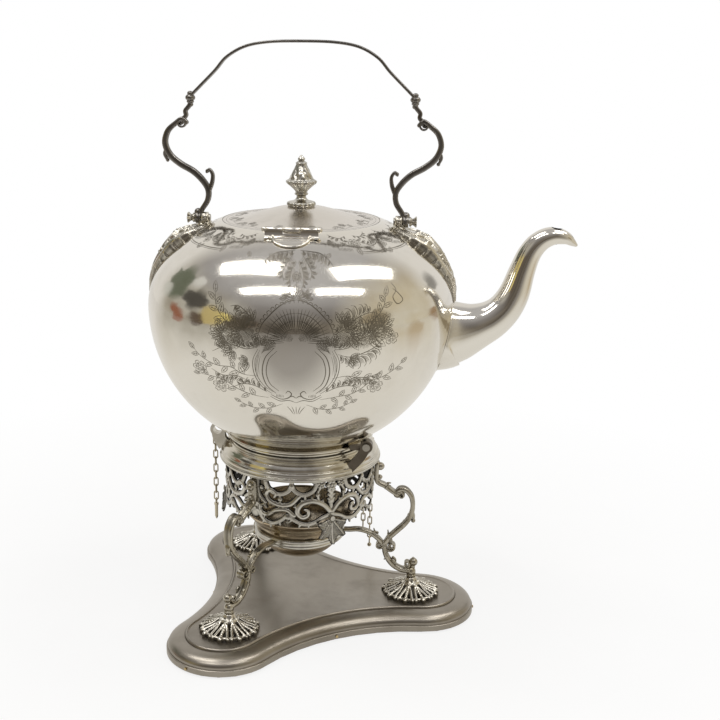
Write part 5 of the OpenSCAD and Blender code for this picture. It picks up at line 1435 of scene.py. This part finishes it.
def mount_half():
    edge = [(61.2, 4.6), (64.5, 9.4), (69.5, 12.8), (75.5, 13.7), (80.5, 12.2), (82.4, 8.9), (79.6, 7.0),
        (77.4, 8.8)]
    lower = [(82.0, 12.2), (86.6, 10.8), (90.8, 8.2), (93.0, 5.2), (91.2, 3.0), (88.9, 4.2)]
    tail = [(92.6, 4.8), (95.4, 3.4), (97.2, 1.3)]
    inner = [(64.0, 1.6), (66.5, 5.8), (70.4, 8.0), (73.8, 6.6), (73.2, 3.8), (70.8, 4.4)]
    out = [stroke(edge, 1.5, 0.9, 1.9, groove=0.35), stroke(lower, 1.3, 0.7, 1.7, groove=0.25),
        stroke(tail, 0.9, 0.6, 1.2), stroke(inner, 1.2, 0.7, 1.7)]
    out += fronds(edge, 1, (0.1, 0.2, 0.3, 0.4, 0.5), 2.4, 0.8, 1.3, lean=55)
    out += fronds(lower, 1, (0.1, 0.24, 0.38), 2.2, 0.7, 1.2, lean=55)
    for t in (0.0, 3.0, 5.9):
        out.append(stroke([(74.5, t * 0.5), (80, t * 0.9), (86.2 - 0.16 * t * t, t * 1.25)], 0.8, 1.35, 1.7))
    out += rosette(75.6, 0, 3.0, 6, 2.2) + rosette(86.9, 6.6, 2.2, 5, 1.9) + rosette(68.2, 9.4, 2.3, 5, 1.9)
    for r, w in ((87.5, 1.5), (90.2, 1.35), (92.7, 1.2), (94.9, 1.0), (96.5, 0.8)):
        out += [dot(r, 0, w, 1.7), stroke([(r - 0.4, 0.6), (r + 1.1, w * 1.5)], 0.7, 0.45, 1.3)]
    return out


def mount_strands():
    base_line = np.array([(60.8 + 36.4 * s, 0.0) for s in np.linspace(0, 1, 40)])
    base_wide = np.interp(base_line[:, 0], MOUNT[:, 0], MOUNT[:, 2]) * 15 - 1.3
    return [(base_line, np.clip(base_wide, 0.8, 13.6), 0.22, 0.0)] + mirrored(mount_half(), axis=1)


def lug_forms():
    top = BODY_Z + BODY_UP * math.sqrt(1 - (62 / BODY_R) ** 2)
    forms = [rod([(59.6, 0, HANDLE_Z), (64, 0, HANDLE_Z)], 3.7, 36),
        ball(61.8, 0, top + 2.2, 3.4, 0.9, 8, 0.12)]
    for side in (-1, 1):
        forms += [ball(63.4, 3.6 * side, top + 0.9, 1.7, 0.8),
            ball(60.4, 3.4 * side, top + 1.4, 1.6, 0.8), ball(66.6, 4.6 * side, top - 1.6, 1.8, 0.8),
            ball(69.6, 3.0 * side, top - 2.6, 1.6, 0.8, 6, 0.15)]
        forms.append(strap([(66.4, top - 0.6), (64.2, top + 2.4), (61.4, top + 4.8), (59.9, top + 3.2)],
            1.7, 0.9, 1.6, y=3.2 * side))
    return forms


def bud_form():
    """The nut on each lug is a bud of six leaves, open at its tip."""
    along = np.array([0, 0.2, 1.0, 1.6, 2.2, 3.0, 3.8, 4.5, 4.9, 4.7, 4.1, 3.9])
    wide = np.array([0.05, 2.9, 3.2, 2.5, 2.0, 2.3, 3.0, 3.45, 3.1, 2.2, 1.2, 0.05])
    q = full_turn(48)
    petal = 1 + 0.34 * np.clip(along / 3 - 0.5, 0, 1)[:, None] * (np.abs(np.cos(3 * q)) ** 0.7 - 0.75)
    r = wide[:, None] * petal
    points = np.stack([68.2 + along[:, None] + 0 * r, r * np.cos(q), HANDLE_Z + r * np.sin(q)],
        -1).reshape(-1, 3)
    marks = np.clip(1.1 - petal, 0, 0.4) * 2.2 + (np.arange(12) > 8)[:, None] * 0.7
    return points, tube_faces(12, 48), marks.reshape(-1)


mount_form = relief_form(mount_strands(), (59.5, 98.5), (-16.5, 16.5), 0.34,
    place_mount)
outer = np.arange(len(mount_form[0])) < len(mount_form[0]) // 2
mount_form = (mount_form[0], mount_form[1], np.where(outer, mount_form[2] * 0.7, 0.12))
mount_all = joined([mount_form] + lug_forms())
for side, mirror in SIDES:
    mount = "handle_mount_" + side
    casting("mount_shell_" + side, [turned_by(mount_all, mirror=mirror)], slots[mount], "kettle", [mount],
        sharp=60)
bud = bud_form()
casting("flower_nuts_cast", [bud, turned_by(bud, mirror=True)], slots["flower_nuts"], "kettle",
    ["flower_nuts"], sharp=60)
print("mounts:", len(mount_all[1]), "faces each")

# %% [markdown]
# ## Lid hinge
# The hinge is a barrel in three parts on one pin. A thin web carries it, hollow in front, and below it a
# half-round plate with a raised rim follows the shoulder. The plate is drawn as strands again, on the
# bulb's surface at the front.


# %% Hinge
HINGE_Y, HINGE_Z = -(MOUTH_R + 2.7), MOUTH_Z + 1.8


def place_hinge(u, v, h):
    r, turn = v, -math.pi / 2 + u / 60.0
    return on_shoulder(r, turn, np.where(h > 0, 0.12 + np.minimum(h, 1.2), 0.04))


def hinge_strands():
    arc = [(12.2 * math.cos(a), 54.4 + 10.2 * math.sin(a)) for a in np.linspace(0, math.pi, 15)]
    fill = [stroke([(-w, 54.4 + k), (0, 54.6 + k), (w, 54.4 + k)], 1.1, 1.1, 0.55) for k,
        w in ((0.2, 11.8), (1.8, 11.4), (3.4, 10.8), (5.0, 9.8), (6.6, 8.2), (8.0, 6.2), (9.0, 3.6))]
    corners = [dot(side * w, r, 1.0, 1.2) for side in (-1, 1) for w,
        r in ((13.2, 55.2), (12.2, 57.6), (13.4, 57.4))]
    return fill + [stroke(arc, 0.9, 0.9, 1.15)] + corners


def barrel(x0, x1, radius=1.7):
    forms = [rod([(x0, HINGE_Y, HINGE_Z), (x1, HINGE_Y, HINGE_Z)], radius, 28)]
    return forms + [rod([(x, HINGE_Y, HINGE_Z), (x + 0.5, HINGE_Y, HINGE_Z)], radius + 0.22,
        28) for x in (x0 + 0.4, x1 - 0.9)]


def web(x0, x1, top):
    """The plate's upper edge: a thin web that runs up from the shoulder in a hollow curve to the barrel."""
    base = [BODY_Z + BODY_UP * math.sqrt(1 - (r / BODY_R) ** 2) for r in (-HINGE_Y + 3.6, -HINGE_Y - 1.2)]
    y = HINGE_Y - np.array([3.6, 2.6, 1.95, 1.72, 1.4, 0.4, -0.6, -1.2])
    z = np.array([base[0] - 0.2, base[0] + 0.5, base[0] + 1.3, top, top, top, base[1] + 0.3, base[1] - 0.4])
    n = len(y)
    points = [(x, *yz) for x in (x0, x1) for yz in zip(y, z)]
    faces = [[k, (k + 1) % n, n + (k + 1) % n, n + k] for k in range(n)]
    return np.array(points), faces + [list(range(n))[::-1], list(range(n, 2 * n))]


hinge_form = relief_form(hinge_strands(), (-15, 15), (53.2, 66.2), 0.28, place_hinge)
webs = [web(-16, -5.48, HINGE_Z), web(5.48, 16, HINGE_Z), web(-5.48, 5.48, HINGE_Z - 2.15)]
ears = [ball(x, HINGE_Y - 0.2, HINGE_Z + 0.2, 1.9, 0.9, 5, 0.12) for x in (-16.4, 16.4)]
casting("hinge_plate", [hinge_form] + barrel(-16, -5.48) + barrel(5.48, 16) + webs + ears, "silver",
    "kettle", ["lid_hinge_plate"], sharp=45)
corners = [(x, HINGE_Y + y, HINGE_Z + z) for x in (-5.1, 5.1) for y in (0.5, 7) for z in (-0.5, 0.7)]
sides = [[0, 1, 3, 2], [4, 6, 7, 5], [0, 4, 5, 1], [2, 3, 7, 6], [0, 2, 6, 4], [1, 5, 7, 3]]
leaf_plate = (np.array(corners), sides)
casting("hinge_leaf", barrel(-5.1, 5.1) + [leaf_plate], "silver", "lid_body", ["lid_leaf"], sharp=45)
print("hinge made")

# %% [markdown]
# ## Engraving
# The ornament on the bulb was cut by hand with a graver. Each cut swells in the middle and dies away at
# its ends. The cuts are laid on the surface as very fine ribbons, drawn from leaves, flowers, scrolls and
# hatching round a cartouche, which stays bare. Patches of fine cuts side by side give the tone behind.


# %% Engraving strokes
SHOULDER_R, LID_R = 64, 40     # the circles along which the two borders are drawn
FRONT, BACK = -85.6, 94.4      # degrees round the bulb, the middle of each cartouche
rng = random.Random(11)        # the graver's small unevenness, the same at each run


def cut(points, width=0.2, steps=5):
    return smooth_line(points, steps), width


def local(x, z, degrees):
    c, s = math.cos(math.radians(degrees)), math.sin(math.radians(degrees))
    return lambda a, b: (x + a * c - b * s, z + a * s + b * c)


def leaf_cuts(x, z, angle, length, width, hatch=3, w=0.19):
    at = local(x, z, angle)
    out = [cut([at(0, 0), at(0.3 * length, side * 0.5 * width), at(0.7 * length, side * 0.42 * width),
        at(length, 0)], w) for side in (-1, 1)]
    out.append(cut([at(0.05 * length, 0), at(0.45 * length, 0.03 * width), at(0.85 * length, 0)], w * 0.9))
    for k in range(hatch):
        t = (k + 0.7) / (hatch + 0.6)
        for side in (-1, 1):
            out.append(cut([at(t * 0.8 * length, 0),
                at(t * 0.8 * length + 0.18 * length, side * 0.33 * width * (1.2 - t))], w * 0.75, 3))
    return out


def sprig_cuts(points, leaves, size, w=0.2):
    stem = smooth_line(points, 8)
    out = [(stem, w)]
    for k in range(leaves):
        i = int((0.18 + 0.8 * k / max(leaves - 1, 1)) * (len(stem) - 2))
        way = math.degrees(math.atan2(*(stem[i + 1] - stem[i])[::-1]))
        lean = (48 if k % 2 else -48) * (1 if k < leaves - 1 else 0)
        long = size * (1 - 0.25 * k / leaves) * (0.9 + 0.2 * rng.random())
        out += leaf_cuts(*stem[i], way + lean, long, long * 0.42, 2, w * 0.95)
    return out


def flower_cuts(x, z, radius, petals, w=0.2):
    out = []
    first = rng.random() * 60
    for k in range(petals):
        at = local(x, z, first + 360 * k / petals)
        wide = radius * 1.9 / petals
        out.append(cut([at(0.25 * radius, 0), at(0.7 * radius, -wide), at(1.0 * radius, -0.5 * wide),
            at(0.93 * radius, 0), at(1.0 * radius, 0.5 * wide), at(0.7 * radius, wide),
            at(0.25 * radius, 0)], w, 4))
        for side in (-0.4, 0, 0.4):
            out.append(cut([at(0.35 * radius, side * wide * 0.5), at(0.72 * radius, side * wide)],
                w * 0.7, 2))
    ring = [(x + 0.2 * radius * math.cos(a), z + 0.2 * radius * math.sin(a)) for a in np.linspace(0,
        2 * math.pi, 9)]
    return out + [cut(ring, w, 3)]


def acanthus_cuts(points, lobes, length, side=1, w=0.21):
    """A scrolling leaf: a main rib with curved lobes down one side, each filled with shade lines."""
    rib = smooth_line(points, 8)
    out = [(rib, w * 1.25)]
    for k in range(lobes):
        i = int((0.08 + 0.86 * k / lobes) * (len(rib) - 2))
        way = math.degrees(math.atan2(*(rib[i + 1] - rib[i])[::-1])) + side * 62
        long = length * math.sin(math.pi * (0.2 + 0.75 * k / lobes)) * (0.85 + 0.3 * rng.random())
        at = local(*rib[i], way)
        out.append(cut([at(0, 0), at(0.5 * long, -side * 0.28 * long),
            at(0.95 * long, -side * 0.12 * long), at(1.05 * long, side * 0.16 * long)], w))
        for j in range(4):
            b = 0.10 + 0.07 * j
            out.append(cut([at(0.1 * long, side * b * long * 0.4),
                at(0.5 * long, side * (b - 0.22) * long),
                at((0.9 - 0.06 * j) * long, side * (b - 0.1) * long)], w * 0.7, 3))
    return out


def shade_cuts(x, z, wide, tall, degrees, gap, bend=0.12, w=0.15):
    """A patch of fine side-by-side cuts, which gives the tone behind leaves."""
    out = []
    for k in np.arange(-wide, wide, gap):
        half = tall * math.sqrt(max(1 - (k / wide) ** 2, 0)) * rng.uniform(0.75, 1.0)
        if half > 0.8:
            at = local(x, z, degrees)
            out.append(cut([at(k, -half), at(k + bend * half, 0), at(k, half)], w * rng.uniform(0.8, 1.3),
                3))
    return out


def spray_cuts(x, z, reach, count, first, spread, w=0.2):
    """Long pointed leaves that fan out from one point."""
    out = []
    for k in range(count):
        way = first + spread * k / max(count - 1, 1) + rng.uniform(-6, 6)
        long = reach * rng.uniform(0.72, 1.0)
        at = local(x, z, way)
        out += leaf_cuts(*at(0.12 * reach, 0), way, long, long * 0.36, 4, w)
    return out


def pendant_cuts():
    """The matted leafy pendant below the hinge, drawn in the front plane like the cartouche."""
    half = acanthus_cuts([(1.5, 259), (7, 258.5), (13, 257.5), (18, 254.5), (21, 251)], 7, 4.6, -1)
    half += acanthus_cuts([(2, 258), (6, 253), (8.5, 248.5), (7.5, 244.5)], 6, 4.4, 1)
    half += acanthus_cuts([(1, 254), (3.6, 249), (4, 244), (2.4, 239.5)], 6, 3.6, 1)
    half += shade_cuts(5.5, 254, 5.5, 3.8, 24, 0.75) + shade_cuts(3.4, 247.5, 3.2, 4.6, -8, 0.75)
    half += shade_cuts(13, 255.5, 4.5, 2.2, 10, 0.8)
    return flipped(half) + leaf_cuts(0, 243.5, -90, 6.4, 2.6, 3) + flower_cuts(0, 246.5, 2.6, 6)


def double_cut(points, gap, width):
    p = smooth_line(points, 6)
    way = np.gradient(p, axis=0)
    off = np.stack([-way[:, 1], way[:, 0]], 1) / np.linalg.norm(way, axis=1)[:, None] * gap
    return [(p, width), (p + off, width * 0.8)]


def flipped(cuts):
    return cuts + [(p * (-1, 1), w) for p, w in cuts]


def front_scene():
    half = []
    half += double_cut([(12.5, 208), (17.6, 202), (19.4, 193), (17, 184.5), (11.5, 179.2)], -2.3, 0.34)
    half += double_cut([(21.8, 207), (24.8, 200), (24.2, 191.5), (20, 183.6), (14, 179)], -1.3, 0.24)
    half += [cut([(14.5, 178.2), (9, 175.4), (4.4, 176.4), (2.6, 179.2), (4.6, 181), (6, 179.4)], 0.34),
        cut([(0, 176.2), (2.2, 177.6), (4.4, 176.4)], 0.3),
        cut([(15, 177), (9.4, 174), (4.2, 174.6), (0, 173)], 0.24)]
    for k in range(15):
        a = math.radians(4 + 12.3 * k / 2)
        inner, outer = 7.5 + 0.8 * (k % 2), 20.5 - 0.02 * (k - 7) ** 2
        half.append(cut([(inner * math.sin(a) * 0.9, 211.5 + inner * math.cos(a) * 0.8),
            ((inner + outer) / 2 * math.sin(a) * 0.96, 211 + (inner + outer) / 2 * math.cos(a)),
            (outer * math.sin(a), 211 + outer * math.cos(a))], 0.24 if k % 2 else 0.17))
    half.append(cut([(0, 235.2), (6, 233.8), (11, 230.6), (15.4, 226.4), (19.4, 221.6), (21.4, 216.0)],
        0.34))
    for k in range(12):
        a = math.radians(6 + 7.4 * k)
        at = local(22.4 * math.sin(a), 211 + 22.9 * math.cos(a), 90 - math.degrees(a))
        half.append(cut([at(-0.4, -1.2), at(1.1, -0.9), at(1.5, 0), at(1.1, 0.9), at(-0.4, 1.2)], 0.24, 3))
    half += leaf_cuts(0.6, 235.6, 62, 5.6, 2.4, 2) + leaf_cuts(1.2, 235.4, 25, 6.4, 2.6, 3)
    for k in range(9):
        a = 12 + 18 * k
        at = local(11.5 + 0.5 * k, 210 - 0.4 * k, 40 - 9 * k)
        half.append(cut([at(0, 0), at(2.6, 0.8), at(4.6 + 0.2 * (k % 3), 0.2)], 0.22, 3))
    for k in range(20):
        a = math.radians(5 + 4.3 * k)
        half.append(cut([(9 * math.sin(a), 212.5 + 8 * math.cos(a)),
            (15 * math.sin(a), 212 + 14.5 * math.cos(a))], 0.2, 3))
    for reach, depth in ((8.6, 7.6), (12.6, 12.0), (16.6, 16.2)):
        arc = [(reach * math.sin(a), 212 + depth * math.cos(a)) for a in np.linspace(0, 1.45, 7)]
        half.append(cut(arc, 0.2))
    half += shade_cuts(7.5, 216.5, 6.8, 3.6, 30, 0.6) + shade_cuts(15.5, 210.5, 4.4, 4.4, 62, 0.7)
    half += shade_cuts(21.6, 197, 1.6, 8.0, 4, 0.8) + shade_cuts(21.5, 211, 2.6, 4.2, 35, 0.7)
    half += shade_cuts(9.5, 177.5, 4.6, 1.2, 5, 0.8)
    half += spray_cuts(20.5, 208.5, 7.5, 5, 20, 120) + spray_cuts(5.0, 236.0, 4.4, 4, 0, 110)
    scene = flipped(half) + pendant_cuts()
    left = sprig_cuts([(-24, 213), (-33, 219), (-41, 222), (-46.5, 229), (-47.5, 238.5)], 11, 7.4)
    left += flower_cuts(-43.5, 215.5, 6.6, 6) + flower_cuts(-31.5, 223.5, 4.8, 5)
    left += acanthus_cuts([(-22, 208), (-29, 206.5), (-36.5, 208), (-43, 206), (-49, 202.5)], 8, 7.6, -1)
    left += acanthus_cuts([(-23, 220), (-27, 226), (-33, 230.5), (-38, 230)], 6, 5.6, 1)
    left += spray_cuts(-31, 216, 11, 9, 60, 190) + spray_cuts(-42, 213.5, 9, 8, 80, 180)
    left += spray_cuts(-25.5, 222, 8, 6, 70, 130) + spray_cuts(-36, 205.5, 8, 6, 150, 120)
    left += shade_cuts(-30.5, 213.5, 7.5, 5.5, 35, 0.62) + shade_cuts(-41, 209.5, 6.5, 4.2, -30, 0.7)
    left += shade_cuts(-27, 222.5, 4.6, 4.2, -20, 0.7) + shade_cuts(-36.5, 221, 4.2, 4.0, 50, 0.7)
    left += spray_cuts(-27, 199, 7, 5, 150, 100)
    left += acanthus_cuts([(-27, 186), (-35, 189), (-43, 188), (-50, 191)], 7, 4.8, 1)
    left += acanthus_cuts([(-17, 180), (-24, 183.5), (-31, 184), (-37, 181)], 6, 4.6, -1)
    left += sprig_cuts([(-22, 190), (-31, 190.5), (-38, 194), (-47, 194), (-56, 197.5), (-62, 203)], 9, 6.6)
    left += flower_cuts(-57.5, 190.5, 4.2, 6) + flower_cuts(-44.5, 181.0, 4.8, 6)
    left += sprig_cuts([(-16, 176), (-25, 177), (-34, 180), (-42, 184.5), (-50, 186), (-60, 186)], 10, 6.0)
    left += sprig_cuts([(-8, 172), (-16, 168.5), (-26, 168), (-35, 172)], 7, 5.4)
    right = acanthus_cuts([(22, 207), (29, 207.5), (36, 212), (43, 214.5), (49, 219), (52, 226)], 10, 9.0, 1)
    right += acanthus_cuts([(22, 216), (28, 219), (34, 224), (40, 226.5), (46, 227)], 8, 7.6, 1)
    right += acanthus_cuts([(24, 204), (31, 202), (38, 203.5), (45, 206.5), (51, 212)], 8, 7.8, -1)
    right += spray_cuts(30, 215.5, 11, 9, -60, 170) + spray_cuts(41, 214, 12, 9, -50, 160)
    right += spray_cuts(48.5, 217, 9, 7, -30, 130) + spray_cuts(26, 221, 8, 6, -10, 120)
    right += shade_cuts(29.5, 213, 7.5, 5.5, -35, 0.62) + shade_cuts(41, 212, 7, 5.5, 25, 0.65)
    right += shade_cuts(33.5, 221.5, 5, 4.2, 40, 0.7) + shade_cuts(48, 215.5, 4.6, 5, 10, 0.7)
    right += spray_cuts(30, 201, 7, 5, -70, 90)
    right += acanthus_cuts([(27, 186), (34, 188.5), (42, 188), (49, 190)], 7, 4.8, -1)
    right += acanthus_cuts([(17, 180), (24, 183), (31, 183.5), (37, 181)], 6, 4.6, 1)
    right += sprig_cuts([(38, 220), (45, 223), (50, 229), (51.5, 236)], 7, 6.6)
    right += flower_cuts(40.5, 213.5, 5.2, 6) + flower_cuts(55.0, 211.0, 4.0, 5)
    right += sprig_cuts([(21, 189), (30, 190), (38, 187), (47, 186), (56, 189.5), (63, 195)], 10, 6.8)
    right += flower_cuts(46, 181.5, 4.6, 6)
    right += sprig_cuts([(14, 175), (24, 176.5), (33, 178), (41, 183), (47, 188)], 8, 5.8)
    right += sprig_cuts([(6, 171.5), (15, 168), (25, 168.5), (34, 172.5)], 7, 5.4)
    right += [cut([(54.5, 241), (57.5, 237), (55.6, 233.5), (58.4, 229.6), (61.6, 231.4), (58.6, 235.4),
        (55.4, 238.0)], 0.26)]
    for x in (-4, -2, 0, 2, 4):
        scene.append(cut([(x * 0.4, 164.5), (x * 0.8, 167.5), (x * 1.3, 170.2)], 0.2, 3))
    return scene + left + right


def shoulder_border():
    """Drawn along the turn and the radius, and repeated ten times round the mouth."""
    unit = 2 * math.pi * SHOULDER_R / 10
    one = []
    one += flipped(acanthus_cuts([(1.5, 59), (6, 63.5), (12, 66), (17.2, 63.2), (16.8, 58.8),
        (13.4, 58.4)], 8, 5.0, -1))
    one += flipped(acanthus_cuts([(3, 56), (8, 57.6), (12.5, 55.6), (15, 53.4)], 5, 3.4, 1))
    one += flipped([cut([(0, 69.8), (unit / 4, 70.4), (unit / 2, 70.4)], 0.34),
        cut([(0, 71.0), (unit / 4, 71.4), (unit / 2, 71.4)], 0.17)])
    one += flipped(shade_cuts(7.5, 67.2, 5.5, 1.6, -10, 0.8) + shade_cuts(14.5, 61.5, 2.6, 2.6, 30, 0.7))
    one += flower_cuts(0, 63.0, 3.8, 6) + leaf_cuts(0, 66.6, 90, 5.6, 2.6, 3)
    one += flower_cuts(unit / 2, 65.0, 3.2, 5) + flipped(leaf_cuts(unit / 2 - 2.4, 69.2, 60, 4.4, 1.8, 2))
    out = []
    for k in range(10):
        out += [(p + (k * unit, 0), w) for p, w in one]
    return out


def lid_border():
    unit = 2 * math.pi * LID_R / 12
    one = [cut([(0, 44.6), (unit / 4, 45.6), (unit / 2, 44.6), (0.75 * unit, 43.6), (unit, 44.6)], 0.2),
        cut([(0, 47.4), (unit / 2, 47.4), (unit, 47.4)], 0.16)]
    one += leaf_cuts(unit * 0.1, 44.8, -60, 6.4, 2.6, 3) + leaf_cuts(unit * 0.38, 44.9, -110, 5.8, 2.4, 3)
    one += leaf_cuts(unit * 0.7, 43.8, -75, 5.6, 2.2, 2) + flower_cuts(unit * 0.52, 39.0, 2.6, 5)
    out = spray_cuts(0, 17, 15, 5, 215, 110) + flower_cuts(-2, 18, 5, 6)
    for k in range(12):
        out += [(p + (k * unit, 0), w) for p, w in one]
    return out


# %% Laying the cuts
def engrave(name, cuts, place, body):
    points, faces, start = [], [], 0
    for line, width in cuts:
        way = np.gradient(line, axis=0)
        off = np.stack([-way[:, 1], way[:, 0]], 1) / np.maximum(np.linalg.norm(way, axis=1), 1e-6)[:, None]
        wide = width * (0.3 + 0.7 * np.sin(np.pi * np.linspace(0.04, 0.96, len(line))))[:, None]
        rows = [place(*(line + off * wide).T, 0.015), place(*line.T, 0.05),
            place(*(line - off * wide).T, 0.015)]
        points.append(np.stack(rows, 1).reshape(-1, 3))
        for k in range(len(line) - 1):
            a = start + 3 * k
            faces += [[a, a + 3, a + 4, a + 1], [a + 1, a + 4, a + 5, a + 2]]
        start += 3 * len(line)
    piece = make_piece(name, np.vstack(points), faces, "engraving", body, sharp=80, slot="silver")
    return piece


def place_front(azimuth):
    def place(x, z, lift):
        half = np.where(z > BODY_Z, BODY_UP, BODY_DOWN)
        r = BODY_R * np.sqrt(np.clip(1 - ((z - BODY_Z) / half) ** 2, 0, 1))
        turn = math.radians(azimuth) + np.arcsin(np.clip(x / r, -0.97, 0.97))
        nx, nz = r / BODY_R ** 2, (z - BODY_Z) / half ** 2
        size = np.hypot(nx, nz)
        out = r + nx / size * lift
        return np.stack([out * np.cos(turn), out * np.sin(turn), z + nz / size * lift], 1)
    return place


def place_shoulder(u, r, lift):
    return on_shoulder(r, math.radians(-90) + u / SHOULDER_R, lift)


def place_lid(u, r, lift):
    t = np.clip((MOUTH_R - 0.8 - r) / (MOUTH_R - 8.8), 0, 1)
    z = MOUTH_Z + LID_RISE * (1 - np.cos(t * math.pi / 2) ** 1.6) + lift
    turn = math.radians(-90) + u / LID_R
    return np.stack([r * np.cos(turn), r * np.sin(turn), z], 1)


def clear_of_fittings(cuts):
    """No cut runs under the handle mounts or the hinge plate."""
    kept = []
    for line, width in cuts:
        turn = np.degrees(line[:, 0] / SHOULDER_R) - 90
        side = np.abs((turn + 90) % 180 - 90)
        ahead = np.abs(line[:, 0] / SHOULDER_R) * line[:, 1]
        round_turn = math.pi - np.abs(line[:, 0] / SHOULDER_R % (2 * math.pi) - math.pi)
        ahead = np.minimum(ahead, round_turn * line[:, 1])
        front = ((ahead < 15.5) & (line[:, 1] < 65.8)) | ((ahead < 22.5) & (line[:, 1] > 62.5))
        mount = (side * math.pi / 180 * line[:, 1] < 15.6) & (line[:, 1] > 58)
        if not (front | mount).any():
            kept.append((line, width))
    return kept


front_cuts = front_scene()
engrave("engraving_front", front_cuts, place_front(FRONT), "kettle")
engrave("engraving_back", front_cuts, place_front(BACK), "kettle")
border_cuts = clear_of_fittings(shoulder_border())
engrave("engraving_shoulder", border_cuts, place_shoulder, "kettle")
lid_cuts = lid_border()
engrave("engraving_lid", lid_cuts, place_lid, "lid_body")
print("cuts:", 2 * len(front_cuts) + len(border_cuts) + len(lid_cuts))
